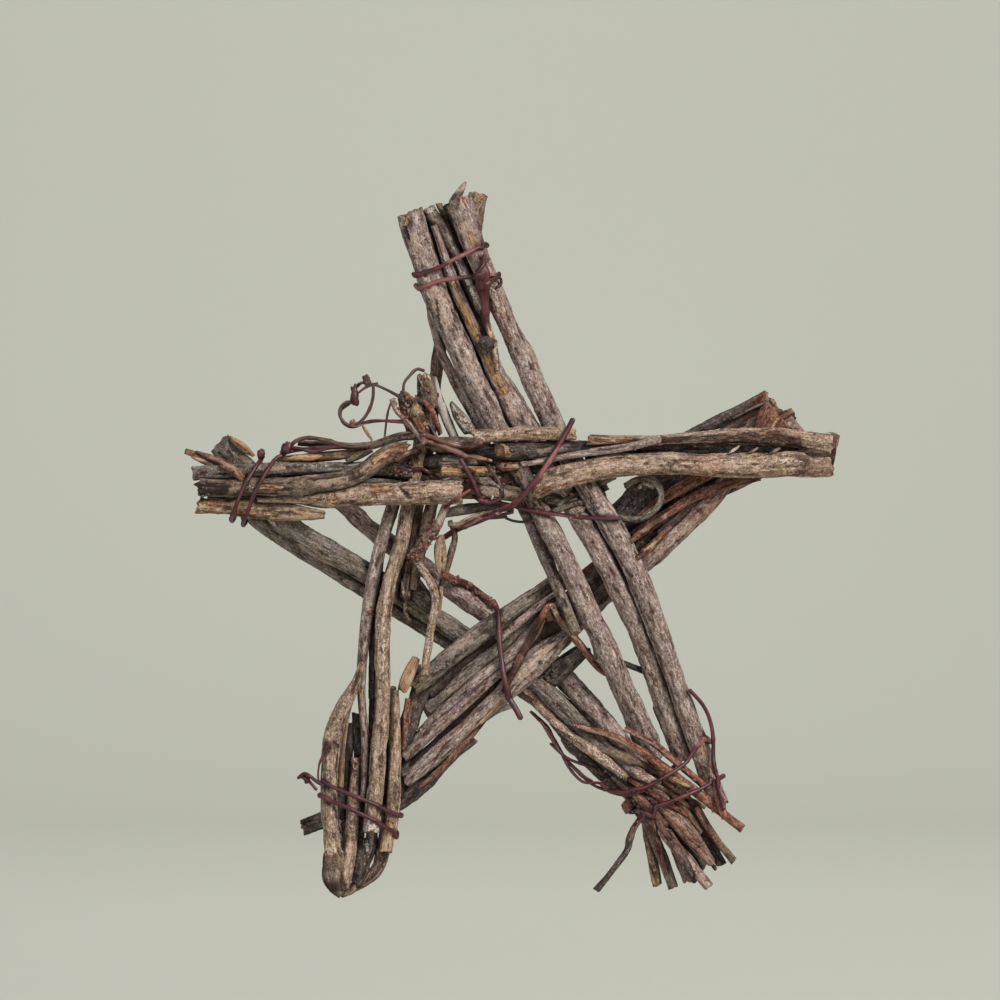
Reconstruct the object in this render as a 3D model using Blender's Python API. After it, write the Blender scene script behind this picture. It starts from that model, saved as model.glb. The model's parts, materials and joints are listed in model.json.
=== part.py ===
"""Hanging five-pointed star of bundled twigs, bound with thin dark red vine.

Metres, +Z up, +X to the right and the front of the star toward -Y. The origin is the point
inside the top of the star, under the binding, where a nail or a thread holds it.
Five bundles of twigs make the star. Each twig's route is set out flat, and its depth is then
found by letting every twig rest on the twigs that it crosses.
"""
import math

import bmesh
import bpy
from mathutils import Vector

# Overall sizes
STAR_WIDTH = 0.248
STAR_HEIGHT = 0.269

# Routes are set out on a layout sheet, across and down, in squares
LAYOUT_WIDE = 652
LAYOUT_HIGH = 708
HANG_SQUARE = (452, 262)

# Twig diameters
STOUT = 0.0098
THICK = 0.0086
FULL = 0.0075
MIDDLE = 0.0064
SLIM = 0.0052
THIN = 0.0040
SPRIG = 0.0031
SPLINTER = 0.0022

# Binding and vine diameters
BINDING = 0.0021
TENDRIL = 0.0015
STRIP = 0.0032

# Spacing
CLEARANCE = 0.00042
LAYER_STEP = 0.0056
STATION_STEP = 0.0135
VINE_STEP = 0.0048
WRAP_SIDES = 16
WRAP_ROOM = 0.0003
SHEET_SMOOTH = 10

# How far back the rearmost bundle's middle lies, and the hanging point as a share of it
STAR_DEPTH = 0.0320
HANG_SHARE = 0.47

# Each bundle: the way it runs, and its depth as a share of the star's at squares along it
BUNDLES = {
    "right_leg": ("down", ((200, 0.38), (470, 0.59), (600, 0.59), (740, 0.83), (810, 0.88))),
    "crossbar": ("across", ((188, 0.25), (840, 0.25))),
    "left_slope": ("across", ((190, 0.52), (260, 0.55), (385, 1.0), (510, 1.0), (650, 0.53),
                              (740, 0.47))),
    "right_slope": ("across", ((300, 0.81), (400, 0.80), (505, 0.67), (600, 1.0), (700, 0.75),
                               (790, 0.56))),
    "left_leg": ("down", ((190, 0.64), (380, 0.62), (470, 0.59), (600, 0.59), (800, 0.48),
                          (890, 0.48))),
}

# Where two bundles meet, the first of each pair lies in front of the second
IN_FRONT = {
    ("right_leg", "left_leg"), ("crossbar", "left_slope"), ("crossbar", "right_slope"),
    ("left_leg", "right_slope"), ("left_slope", "right_leg"), ("crossbar", "right_leg"),
    ("crossbar", "left_leg"), ("left_leg", "left_slope"), ("right_slope", "left_slope"),
    ("right_leg", "right_slope"),
}

# Colours of bark, bare wood and vine, with their roughness
TONES = {
    "grey": ((0.235, 0.200, 0.170, 1.0), 0.90),
    "brown": ((0.170, 0.120, 0.090, 1.0), 0.90),
    "dark": ((0.075, 0.058, 0.048, 1.0), 0.92),
    "rose": ((0.300, 0.205, 0.170, 1.0), 0.86),
    "pale": ((0.420, 0.330, 0.255, 1.0), 0.85),
    "tan": ((0.460, 0.290, 0.150, 1.0), 0.80),
    "rust": ((0.260, 0.105, 0.060, 1.0), 0.80),
    "vine": ((0.115, 0.030, 0.030, 1.0), 0.45),
}

# Each twig: bundle, layer in it counted from the front, diameters spaced evenly along it, tone,
# and the layout squares that it runs through
TWIGS = {
    "right_leg_1": ("right_leg", 0.0, (STOUT, STOUT, FULL, THICK, STOUT), "rose",
                    ((410, 212), (436, 296), (473, 378), (500, 430), (560, 550), (602, 640),
                     (645, 740), (652, 762))),
    "right_leg_2": ("right_leg", 0.2, (THIN, THIN, THICK, THICK, THICK, THICK), "tan",
                    ((434, 226), (456, 290), (484, 348), (513, 408), (545, 460), (600, 552),
                     (642, 640), (677, 740), (686, 764))),
    "right_leg_3": ("right_leg", 0.1, (STOUT, FULL, THICK, THICK, FULL, FULL), "rose",
                    ((457, 197), (475, 252), (503, 314), (545, 408), (570, 458), (628, 556),
                     (662, 640), (697, 740), (722, 812))),
    "right_leg_4": ("right_leg", 0.9, (SPRIG, THIN, SLIM), "grey",
                    ((428, 292), (441, 352), (468, 403), (490, 446))),
    "right_leg_5": ("right_leg", 0.8, (SLIM, SLIM, THIN), "grey",
                    ((508, 476), (530, 520), (552, 572), (576, 634))),
    "right_leg_6": ("right_leg", 0.4, (SLIM, SLIM, SPRIG), "dark",
                    ((428, 207), (446, 238), (462, 272), (481, 313))),
    "right_leg_7": ("right_leg", 1.5, (MIDDLE, FULL, MIDDLE), "brown",
                    ((450, 216), (478, 300), (524, 400), (580, 500), (648, 630), (686, 728))),
    "crossbar_1": ("crossbar", 0.2, (FULL, MIDDLE, THIN), "tan",
                   ((198, 506), (258, 511), (326, 515))),
    "crossbar_2": ("crossbar", 0.0, (MIDDLE, SLIM, SLIM, FULL, MIDDLE), "brown",
                   ((198, 489), (290, 488), (350, 477), (378, 461), (412, 446))),
    "crossbar_3": ("crossbar", 0.3, (MIDDLE, SLIM, SLIM), "grey",
                   ((194, 474), (262, 470), (330, 468), (400, 470))),
    "crossbar_4": ("crossbar", 0.1, (SPRIG, THIN, THICK, THICK, THICK, THICK), "pale",
                   ((258, 499), (320, 498), (390, 494), (464, 493))),
    "crossbar_6": ("crossbar", 0.3, (SLIM, SLIM), "pale",
                   ((472, 437), (520, 434), (576, 434))),
    "crossbar_7": ("crossbar", 0.7, (MIDDLE, MIDDLE, SLIM), "dark",
                   ((496, 451), (566, 450), (636, 448))),
    "crossbar_8": ("crossbar", -0.5, (SPLINTER, SPRIG), "rose",
                   ((520, 465), (580, 454), (629, 447), (660, 439))),
    "crossbar_9": ("crossbar", 0.8, (SPRIG, THIN, SPRIG), "tan",
                   ((276, 461), (322, 457), (366, 452))),
    "crossbar_10": ("crossbar", 0.9, (SPLINTER, SPRIG, THIN), "brown",
                    ((298, 443), (369, 446), (392, 438), (438, 435))),
    "crossbar_11": ("crossbar", 0.6, (THIN, THIN), "tan",
                    ((440, 471), (496, 472))),
    "left_slope_1": ("left_slope", 0.0, (STOUT, THICK, FULL, FULL, MIDDLE, FULL), "grey",
                     ((219, 440), (250, 475), (292, 528), (364, 572), (440, 622), (535, 684),
                      (594, 741), (640, 778), (676, 822), (708, 868))),
    "left_slope_2": ("left_slope", 0.2, (MIDDLE, SLIM, SLIM, SLIM, THIN), "grey",
                     ((236, 500), (271, 531), (335, 573), (440, 640), (525, 694), (573, 734),
                      (618, 780), (650, 828), (673, 888))),
    "left_slope_3": ("left_slope", 0.3, (MIDDLE, FULL, THICK, FULL, SLIM), "rose",
                     ((338, 500), (377, 534), (455, 592), (510, 632), (556, 671), (614, 734),
                      (646, 778), (672, 832), (690, 882))),
    "left_slope_4": ("left_slope", -0.6, (SPLINTER, SPRIG, THIN), "rust",
                     ((186, 451), (212, 460), (243, 474))),
    "left_slope_5": ("left_slope", -0.6, (SPRIG, THIN, SLIM), "rust",
                     ((572, 724), (606, 734), (650, 757), (742, 828))),
    "left_slope_6": ("left_slope", -0.3, (SPRIG, SPRIG), "rust",
                     ((624, 728), (654, 744), (706, 788))),
    "left_slope_7": ("left_slope", -0.2, (THIN, SLIM, THIN), "rose",
                     ((636, 796), (676, 846), (708, 886))),
    "left_slope_8": ("left_slope", 0.6, (SPRIG, THIN), "pale",
                     ((644, 802), (650, 848), (658, 886))),
    "left_slope_10": ("left_slope", -0.5, (SPRIG, SPLINTER), "dark",
                      ((650, 804), (630, 840), (597, 892))),
    "left_slope_11": ("left_slope", 0.5, (SPRIG, SPRIG), "brown",
                      ((690, 800), (706, 838), (720, 866))),
    "left_slope_12": ("left_slope", -0.1, (SPRIG, SPRIG), "brown",
                      ((696, 806), (715, 838), (734, 861))),
    "right_slope_1": ("right_slope", 0.1, (THICK, FULL, FULL, FULL), "rose",
                      ((800, 423), (745, 456), (708, 503), (652, 556), (598, 603), (552, 650))),
    "right_slope_2": ("right_slope", 0.2, (SLIM, THIN, THIN), "dark",
                      ((769, 396), (722, 420), (676, 444), (640, 486), (604, 520))),
    "right_slope_3": ("right_slope", 0.3, (FULL, FULL, MIDDLE), "brown",
                      ((783, 408), (728, 442), (690, 492), (640, 543), (585, 590), (548, 618))),
    "right_slope_4": ("right_slope", -0.1, (SPRIG, THIN, SPRIG), "rust",
                      ((676, 508), (648, 524), (604, 560), (560, 590))),
    "right_slope_5": ("right_slope", -0.3, (STOUT, STOUT, THICK), "pale",
                      ((567, 634), (530, 667), (490, 699), (440, 743), (401, 779))),
    "right_slope_6": ("right_slope", 0.3, (SLIM, SLIM, MIDDLE), "pale",
                      ((556, 604), (523, 645), (482, 678), (440, 718), (402, 759))),
    "right_slope_7": ("right_slope", -0.2, (SPLINTER, SPRIG, SPRIG), "pale",
                      ((558, 592), (532, 612), (497, 640))),
    "right_slope_8": ("right_slope", -0.9, (SPRIG, SPRIG, SPLINTER), "rust",
                      ((523, 652), (551, 607), (575, 634), (612, 676))),
    "right_slope_9": ("right_slope", 0.6, (SLIM, FULL, FULL, MIDDLE), "dark",
                      ((474, 736), (441, 764), (403, 799), (350, 812), (300, 830))),
    "right_slope_10": ("right_slope", 0.0, (MIDDLE, FULL, FULL), "grey",
                       ((572, 572), (530, 600), (473, 640), (410, 690))),
    "right_slope_11": ("right_slope", 0.5, (FULL, FULL, THICK), "grey",
                       ((560, 590), (520, 632), (487, 662), (422, 716))),
    "left_leg_1": ("left_leg", 0.0, (MIDDLE, FULL, FULL, FULL, MIDDLE), "pale",
                   ((425, 374), (421, 440), (404, 530), (384, 610), (383, 700), (377, 780),
                    (372, 832))),
    "left_leg_2": ("left_leg", 0.3, (SLIM, SLIM, SPRIG, SPRIG), "rose",
                   ((395, 500), (377, 562), (364, 640), (362, 700), (366, 745), (364, 800))),
    "left_leg_3": ("left_leg", 0.1, (SLIM, MIDDLE, MIDDLE, FULL), "rose",
                   ((359, 654), (347, 700), (332, 760), (331, 840), (338, 888))),
    "left_leg_4": ("left_leg", 0.6, (SPRIG, SPRIG), "tan",
                   ((354, 684), (343, 732), (340, 788))),
    "left_leg_5": ("left_leg", 0.3, (SLIM, SLIM, THIN), "pale",
                   ((356, 757), (357, 812), (343, 886))),
    "left_leg_6": ("left_leg", 0.3, (THIN, SLIM, SLIM), "pale",
                   ((394, 690), (395, 760), (392, 820), (386, 852))),
    "left_leg_7": ("left_leg", -0.3, (SPRIG, SPRIG), "pale",
                   ((417, 560), (435, 588), (429, 640), (424, 676))),
    "left_leg_8": ("left_leg", 0.6, (SPRIG, SPRIG), "pale",
                   ((432, 378), (444, 408), (457, 442))),
    "left_leg_9": ("left_leg", 0.9, (FULL, SLIM, THIN, THIN), "brown",
                   ((478, 192), (466, 262), (440, 345), (430, 440), (416, 520), (404, 600))),
    "left_leg_11": ("left_leg", 0.9, (SLIM, SLIM, THIN), "brown",
                    ((390, 800), (383, 850), (370, 880), (350, 890))),
}

# The forked twig of the crossbar: its stem, and the prong that leaves the stem's right end
FORK = "crossbar_5"
FORK_TONE = "rose"
STEM = ("crossbar", 0.0, (THICK, THICK, THICK, STOUT), FORK_TONE,
        ((530, 489), (583, 472), (650, 464), (720, 466), (838, 464)))
PRONG = ("crossbar", 0.0, (THIN, THIN, MIDDLE, FULL), FORK_TONE,
         ((585, 440), (640, 441), (720, 437), (780, 438), (838, 448)))

# Each binding: the strands that cross the front of its bundle, and its free tails
BINDINGS = {
    "top_binding": (((411, 279), (450, 264), (489, 243)), ((415, 291), (450, 282), (497, 276))),
    "left_binding": (((237, 517), (247, 486), (262, 452)), ((252, 514), (260, 486), (275, 455))),
    "lower_left_binding": (((319, 781), (360, 796), (403, 814)),
                           ((317, 795), (360, 810), (402, 833))),
    "lower_right_binding": (((612, 799), (655, 784), (711, 733)),
                            ((632, 812), (670, 803), (716, 781))),
}
TAILS_BEFORE = {
    "lower_left_binding": ((329, 744), (307, 768), (304, 777)),
    "lower_right_binding": ((541, 722), (557, 751), (572, 774), (590, 786)),
}
TAILS_AFTER = {
    "left_binding": ((286, 447), (306, 450), (330, 446), (369, 448)),
}

# Loose vines, laid over the front of the star. A third number lifts a point forward by so
# many of the vine's diameters
VINES = {
    "top_strip": (STRIP, ((484, 258), (482, 280), (485, 304), (487, 333))),
    "crossbar_vine": (BINDING, ((424, 440), (455, 451), (491, 461))),
    "right_leg_vine": (BINDING, ((461, 460), (485, 497), (503, 504), (560, 515), (620, 518),
                                 (650, 506), (661, 482))),
    "crossing_vine": (BINDING, ((572, 421), (548, 462), (520, 500), (500, 510), (470, 524),
                                (446, 536), (440, 556), (450, 578), (494, 602), (499, 640),
                                (504, 676), (520, 717))),
    "side_vine": (BINDING, ((690, 690), (707, 711), (713, 733), (713, 757), (716, 785),
                            (722, 806))),
    "tendril": (TENDRIL, ((438, 440), (424, 417, 0.7), (398, 396, 1.3), (372, 384, 1.3),
                          (357, 386, 2.6), (352, 402, 3.3), (341, 414, 3.3), (349, 428, 2.0),
                          (362, 424, 0.7), (380, 421), (402, 421))),
}


# Routes
def to_plane(square):
    return (
        (square[0] - HANG_SQUARE[0]) * STAR_WIDTH / LAYOUT_WIDE,
        (HANG_SQUARE[1] - square[1]) * STAR_HEIGHT / LAYOUT_HIGH,
    )


def catmull_rom(points, t):
    # A curve through the points, with t running from 0 at the first to 1 at the last
    spans = len(points) - 1
    at = min(int(t * spans), spans - 1)
    u = t * spans - at
    before = points[at - 1] if at > 0 else [2 * a - b for a, b in zip(points[0], points[1])]
    after = points[at + 2] if at + 2 <= spans else [
        2 * a - b for a, b in zip(points[-1], points[-2])]
    return [
        0.5 * (2 * p1 + (p2 - p0) * u + (2 * p0 - 5 * p1 + 4 * p2 - p3) * u * u
               + (3 * p1 - 3 * p2 + p3 - p0) * u ** 3)
        for p0, p1, p2, p3 in zip(before, points[at], points[at + 1], after)
    ]


def spread(points, step):
    # Evenly spaced stations on the smooth curve through the points
    count = SHEET_SMOOTH * (len(points) - 1)
    fine = [catmull_rom(points, index / count) for index in range(count + 1)]
    reach = [0.0]
    for start, end in zip(fine, fine[1:]):
        reach.append(reach[-1] + math.dist(start[:2], end[:2]))
    pieces = max(2, round(reach[-1] / step))
    stations = []
    at = 0
    for index in range(pieces + 1):
        wanted = reach[-1] * index / pieces
        while at < count - 1 and reach[at + 1] < wanted:
            at += 1
        share = (wanted - reach[at]) / (reach[at + 1] - reach[at])
        stations.append([a + (b - a) * share for a, b in zip(fine[at], fine[at + 1])])
    return stations


def bundle_depth(bundle, square):
    side, marks = BUNDLES[bundle]
    at = square[0] if side == "across" else square[1]
    at = min(marks[-1][0], max(marks[0][0], at))
    for (low, start), (high, end) in zip(marks, marks[1:]):
        if at <= high:
            break
    return STAR_DEPTH * (start + (end - start) * (at - low) / (high - low))


class Strand:
    # A twig, vine or binding as stations (across, up), with a depth and a radius at each
    def __init__(self, name, plane, depth, radius, bundle="", layer=0.0):
        self.name = name
        self.plane = plane
        self.depth = depth
        self.radius = radius
        self.bundle = bundle
        self.layer = layer
        self.wanted = list(depth)

    def at(self, segment, share):
        keep = 1.0 - share
        return (
            self.plane[segment][0] * keep + self.plane[segment + 1][0] * share,
            self.depth[segment] * keep + self.depth[segment + 1] * share,
            self.plane[segment][1] * keep + self.plane[segment + 1][1] * share,
            self.radius[segment] * keep + self.radius[segment + 1] * share,
        )

    def segments(self):
        return range(len(self.plane) - 1)


def blend(values, share):
    # The value at a share of the way along evenly spaced values
    at = min(int(share * (len(values) - 1)), len(values) - 2)
    part = share * (len(values) - 1) - at
    return values[at] + (values[at + 1] - values[at]) * part


def make_twig(name, bundle, layer, diameters, route):
    # The route's own points carry the bundle's depth, so that the stations get it too
    points = [
        (*to_plane(square), bundle_depth(bundle, square) + layer * LAYER_STEP)
        for square in route
    ]
    stations = spread(points, STATION_STEP)
    last = len(stations) - 1
    radius = [blend(diameters, index / last) / 2 for index in range(last + 1)]
    return Strand(name, [station[:2] for station in stations],
                  [station[2] for station in stations], radius, bundle, layer)


# Contacts between strands
def nearest_flat(point, strand):
    # The place on the strand nearest to the point, seen from the front
    best = None
    for segment in strand.segments():
        ax, az = strand.plane[segment]
        bx, bz = strand.plane[segment + 1]
        dx = bx - ax
        dz = bz - az
        share = ((point[0] - ax) * dx + (point[1] - az) * dz) / (dx * dx + dz * dz)
        share = min(1.0, max(0.0, share))
        away = math.hypot(point[0] - ax - dx * share, point[1] - az - dz * share)
        if best is None or away < best[0]:
            best = (away, segment, share)
    return best


def crossing(first, a, second, b):
    # Where two flat segments cross, as shares of each, or None
    px, pz = first.plane[a]
    rx = first.plane[a + 1][0] - px
    rz = first.plane[a + 1][1] - pz
    qx, qz = second.plane[b]
    sx = second.plane[b + 1][0] - qx
    sz = second.plane[b + 1][1] - qz
    area = rx * sz - rz * sx
    if abs(area) < 1e-12:
        return None
    t = ((qx - px) * sz - (qz - pz) * sx) / area
    u = ((qx - px) * rz - (qz - pz) * rx) / area
    if 0.0 <= t <= 1.0 and 0.0 <= u <= 1.0:
        return t, u
    return None


def nearest_in_space(p, q, r, s):
    # The shares along p to q and r to s where the two segments come nearest
    d1 = q - p
    d2 = s - r
    gap = p - r
    a = d1.dot(d1)
    e = d2.dot(d2)
    f = d2.dot(gap)
    c = d1.dot(gap)
    b = d1.dot(d2)
    spread_out = a * e - b * b
    t = min(1.0, max(0.0, (b * f - c * e) / spread_out)) if spread_out > 1e-18 else 0.0
    u = (b * t + f) / e
    if u < 0.0:
        u = 0.0
        t = min(1.0, max(0.0, -c / a))
    elif u > 1.0:
        u = 1.0
        t = min(1.0, max(0.0, (b - c) / a))
    return t, u


def spot(strand, index):
    return Vector((strand.plane[index][0], strand.depth[index], strand.plane[index][1]))


def too_close(first, second):
    # Every pair of segments nearer than their radii and the clearance allow
    found = []
    for a in first.segments():
        p = spot(first, a)
        q = spot(first, a + 1)
        thick = max(first.radius[a], first.radius[a + 1])
        for b in second.segments():
            room = thick + max(second.radius[b], second.radius[b + 1]) + CLEARANCE
            r = spot(second, b)
            s = spot(second, b + 1)
            if min(p.x, q.x) - room > max(r.x, s.x) or min(r.x, s.x) - room > max(p.x, q.x):
                continue
            if min(p.z, q.z) - room > max(r.z, s.z) or min(r.z, s.z) - room > max(p.z, q.z):
                continue
            t, u = nearest_in_space(p, q, r, s)
            away = (p.lerp(q, t) - r.lerp(s, u)).length
            need = first.at(a, t)[3] + second.at(b, u)[3] + CLEARANCE
            if away < need:
                found.append((need - away, a, t, b, u, away))
    return found


def lies_in_front(first, second):
    if first.bundle != second.bundle:
        return (first.bundle, second.bundle) in IN_FRONT
    if first.layer != second.layer:
        return first.layer < second.layer
    return first.name < second.name


def flat_contacts(first, second):
    # Places where the front strand crosses or runs beside the back one
    spots = []
    for index, point in enumerate(first.plane):
        away, segment, share = nearest_flat(point, second)
        at = min(index, len(first.plane) - 2)
        spots.append((away, at, float(index - at), segment, share))
    for index, point in enumerate(second.plane):
        away, segment, share = nearest_flat(point, first)
        at = min(index, len(second.plane) - 2)
        spots.append((away, segment, share, at, float(index - at)))
    for a in first.segments():
        for b in second.segments():
            met = crossing(first, a, second, b)
            if met:
                spots.append((0.0, a, met[0], b, met[1]))
    contacts = []
    for away, a, t, b, u in spots:
        need = first.at(a, t)[3] + second.at(b, u)[3] + CLEARANCE
        if away < need:
            contacts.append([first, a, t, second, b, u, math.sqrt(need ** 2 - away ** 2)])
    return contacts


def push_apart(contact):
    # Moves the front strand forward and the back strand backward by half of what is missing
    first, a, t, second, b, u, need = contact
    front = first.depth[a] * (1 - t) + first.depth[a + 1] * t
    back = second.depth[b] * (1 - u) + second.depth[b + 1] * u
    missing = need - (back - front)
    if missing <= 0.0:
        return 0.0
    weight = (1 - t) ** 2 + t ** 2 + (1 - u) ** 2 + u ** 2
    step = missing / weight
    first.depth[a] -= step * (1 - t)
    first.depth[a + 1] -= step * t
    second.depth[b] += step * (1 - u)
    second.depth[b + 1] += step * u
    return missing


def ease(strand, stiffness, pull):
    # Straightens a strand a little, and draws it toward its bundle's depth
    depth = strand.depth
    last = len(depth) - 1
    old = list(depth)
    for index in range(last + 1):
        if 0 < index < last:
            straight = (old[index - 1] + old[index + 1]) / 2
        elif index == 0:
            straight = 2 * old[1] - old[2]
        else:
            straight = 2 * old[last - 1] - old[last - 2]
        depth[index] += stiffness * (straight - old[index])
        depth[index] += pull * (strand.wanted[index] - old[index])


def share_end(stem, prong):
    # The prong's last two stations stay at the stem's depth, where the two are one
    for back in (1, 2):
        middle = (stem.depth[-back] + prong.depth[-back]) / 2
        stem.depth[-back] = middle
        prong.depth[-back] = middle


def settle(twigs, stem, prong):
    contacts = []
    for index, first in enumerate(twigs):
        for second in twigs[index + 1:]:
            if {first, second} == {stem, prong}:
                continue
            if lies_in_front(first, second):
                contacts += flat_contacts(first, second)
            else:
                contacts += flat_contacts(second, first)
    rounds = 90
    for turn in range(rounds):
        soft = 1.0 - turn / rounds
        for twig in twigs:
            ease(twig, 0.30 * soft, 0.06 * soft)
        share_end(stem, prong)
        for contact in contacts:
            push_apart(contact)
    for _ in range(8):
        for _ in range(120):
            share_end(stem, prong)
            if max(push_apart(contact) for contact in contacts) < CLEARANCE / 100:
                break
        extra = []
        for index, first in enumerate(twigs):
            for second in twigs[index + 1:]:
                if {first, second} == {stem, prong}:
                    continue
                front, back = (first, second) if lies_in_front(first, second) else (
                    second, first)
                for missing, a, t, b, u, away in too_close(front, back):
                    apart = back.at(b, u)[1] - front.at(a, t)[1]
                    need = apart + missing * away / max(apart, away / 2) + CLEARANCE / 20
                    extra.append([front, a, t, back, b, u, need])
        if not extra:
            break
        contacts += extra


# Bindings
def support(discs, angle):
    # How far the discs reach in one direction of the binding's own section
    across = math.cos(angle)
    inward = math.sin(angle)
    return max(s * across + y * inward + reach for s, y, reach in discs)


def wrap_corner(discs, index, room):
    # Where the support lines on either side of a corner meet
    one = 2 * math.pi * (index - 0.5) / WRAP_SIDES
    two = 2 * math.pi * (index + 0.5) / WRAP_SIDES
    h1 = support(discs, one) + room
    h2 = support(discs, two) + room
    area = math.sin(two - one)
    return (
        (h1 * math.sin(two) - h2 * math.sin(one)) / area,
        (h2 * math.cos(one) - h1 * math.cos(two)) / area,
    )


def bound_discs(routes, start, side, twigs):
    # The twigs as the binding's section cuts them: place across, depth and reach
    wire = BINDING / 2
    paths = [routes[0], [routes[0][-1], routes[1][0]], routes[1]]
    discs = []
    for path in paths:
        marks = [catmull_rom(path, index / 8) for index in range(9)]
        trace = Strand("trace", marks, [0.0] * 9, [wire] * 9)
        for twig in twigs:
            for a in trace.segments():
                for b in twig.segments():
                    met = crossing(trace, a, twig, b)
                    if met:
                        x, y, z, radius = twig.at(b, met[1])
                        dx = twig.plane[b + 1][0] - twig.plane[b][0]
                        dz = twig.plane[b + 1][1] - twig.plane[b][1]
                        square_on = abs(dx * side[1] - dz * side[0]) / math.hypot(dx, dz)
                        reach = radius / max(square_on, 0.6) + wire + CLEARANCE
                        s = (x - start[0]) * side[0] + (z - start[1]) * side[1]
                        discs.append((s, y, reach))
    return discs


def make_binding(name, twigs):
    # Two turns of wire round a bundle, from a tail or from behind, left to right in front
    routes = [[to_plane(square) for square in strand] for strand in BINDINGS[name]]
    start = routes[0][0]
    length = math.dist(start, routes[0][-1])
    side = [(b - a) / length for a, b in zip(start, routes[0][-1])]
    discs = bound_discs(routes, start, side, twigs)
    low = min(s - reach for s, y, reach in discs)
    high = max(s + reach for s, y, reach in discs)
    # The slant of the wire behind the bundle, before, between and after the front strands
    drift = [b - a for a, b in zip(routes[0][0], routes[1][0])]
    ends = [[a - b for a, b in zip(routes[0][-1], drift)], routes[0][-1], routes[1][-1]]
    starts = [routes[0][0], routes[1][0], [a + b for a, b in zip(routes[1][0], drift)]]
    half = WRAP_SIDES // 2
    first = half + 1 if name in TAILS_BEFORE else half // 2 + 1
    last = 2 * WRAP_SIDES - 1 if name in TAILS_AFTER else 2 * WRAP_SIDES + half // 2
    tail_before = tail(TAILS_BEFORE.get(name, ()), twigs)
    tail_after = tail(TAILS_AFTER.get(name, ()), twigs)
    room = 0.0
    for _ in range(16):
        plane = []
        depth = []
        for corner in range(first, last + 1):
            s, y = wrap_corner(discs, corner, room)
            turn, past = divmod(corner - half, WRAP_SIDES)
            share = min(1.0, max(0.0, (s - low) / (high - low)))
            if past <= half:
                mark = catmull_rom(routes[turn], share)
            else:
                mark = catmull_rom([ends[turn + 1], starts[turn + 1]], 1.0 - share)
            off = (mark[1] - start[1]) * side[0] - (mark[0] - start[0]) * side[1]
            plane.append((start[0] + side[0] * s - side[1] * off,
                          start[1] + side[1] * s + side[0] * off))
            depth.append(y)
        plane = tail_before[0] + plane + tail_after[0]
        depth = tail_before[1] + depth + tail_after[1]
        strand = Strand(name, plane, depth, [BINDING / 2] * len(plane))
        begun = len(tail_before[0])
        ended = len(plane) - len(tail_after[0])
        worst = 0.0
        for twig in twigs:
            for missing, a, t, b, u, away in too_close(strand, twig):
                if begun <= a < ended - 1:
                    worst = max(worst, missing)
        if worst <= 0.0:
            break
        room += worst + WRAP_ROOM / 4
    clear_front(strand, twigs)
    return strand


def tail(route, twigs):
    # A binding's free end, laid over the front of the twigs
    if not route:
        return [], []
    laid = lay("tail", BINDING, route, twigs, VINE_STEP)
    return laid.plane, laid.depth


# Vines
def front_of(point, radius, strands):
    # How far forward a vine has to lie to clear all that is behind it at a point
    front = None
    for strand in strands:
        away, segment, share = nearest_flat(point, strand)
        x, y, z, thick = strand.at(segment, share)
        need = thick + radius + CLEARANCE
        if away < need:
            here = y - math.sqrt(need ** 2 - away ** 2)
            front = here if front is None else min(front, here)
    return front


def lay(name, diameter, route, strands, step):
    points = [
        (*to_plane(mark), mark[2] * diameter if len(mark) > 2 else 0.0) for mark in route
    ]
    stations = spread(points, step)
    radius = diameter / 2
    plane = [tuple(station[:2]) for station in stations]
    limit = [front_of(point, radius, strands) for point in plane]
    known = [index for index, value in enumerate(limit) if value is not None]
    if not known:
        # Nothing lies behind it: its end hangs level with the nearest strand
        found = [(nearest_flat(plane[-1], strand), strand) for strand in strands]
        (away, segment, share), strand = min(found, key=lambda pair: pair[0])
        limit[-1] = strand.at(segment, share)[1]
        known = [len(limit) - 1]
    depth = []
    for index, value in enumerate(limit):
        if value is None:
            left = max([k for k in known if k < index], default=min(known))
            right = min([k for k in known if k > index], default=max(known))
            share = (index - left) / (right - left) if right > left else 0.0
            value = limit[left] + (limit[right] - limit[left]) * min(1.0, max(0.0, share))
        depth.append(value)
    for _ in range(6):
        old = list(depth)
        for index in range(1, len(depth) - 1):
            taut = (old[index - 1] + old[index + 1]) / 2
            depth[index] = min(old[index], taut) if limit[index] is not None else taut
    depth = [value - station[2] for value, station in zip(depth, stations)]
    vine = Strand(name, plane, depth, [radius] * len(plane))
    clear_front(vine, strands)
    return vine


def clear_front(vine, strands):
    # Draws a vine forward wherever one of its segments would touch what it lies on
    for _ in range(40):
        moved = False
        for strand in strands:
            for missing, a, t, b, u, away in too_close(vine, strand):
                vine.depth[a] -= missing * (1 - t) + CLEARANCE / 20
                vine.depth[a + 1] -= missing * t + CLEARANCE / 20
                moved = True
        if not moved:
            break


# Objects
def paint(item, tone):
    colour, roughness = TONES[tone]
    material = bpy.data.materials.new(item.name + "_surface")
    material.use_nodes = True
    shader = material.node_tree.nodes["Principled BSDF"]
    shader.inputs["Base Color"].default_value = colour
    shader.inputs["Roughness"].default_value = roughness
    shader.inputs["Metallic"].default_value = 0.0
    item.data.materials.append(material)


def build_tube(strand, tone, home):
    # A tube along the stations: eight sides where it is stout and six where it is fine
    curve = bpy.data.curves.new(strand.name, "CURVE")
    curve.dimensions = "3D"
    curve.bevel_depth = 1.0
    curve.bevel_resolution = 2 if max(strand.radius) > SLIM / 2 else 1
    curve.use_fill_caps = True
    spline = curve.splines.new("POLY")
    spline.points.add(len(strand.plane) - 1)
    spline.use_smooth = True
    for point, (x, z), y, radius in zip(
            spline.points, strand.plane, strand.depth, strand.radius):
        point.co = (x, y - STAR_DEPTH * HANG_SHARE, z, 1.0)
        point.radius = radius
    item = bpy.data.objects.new(strand.name, curve)
    home.objects.link(item)
    paint(item, tone)
    return item


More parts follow.
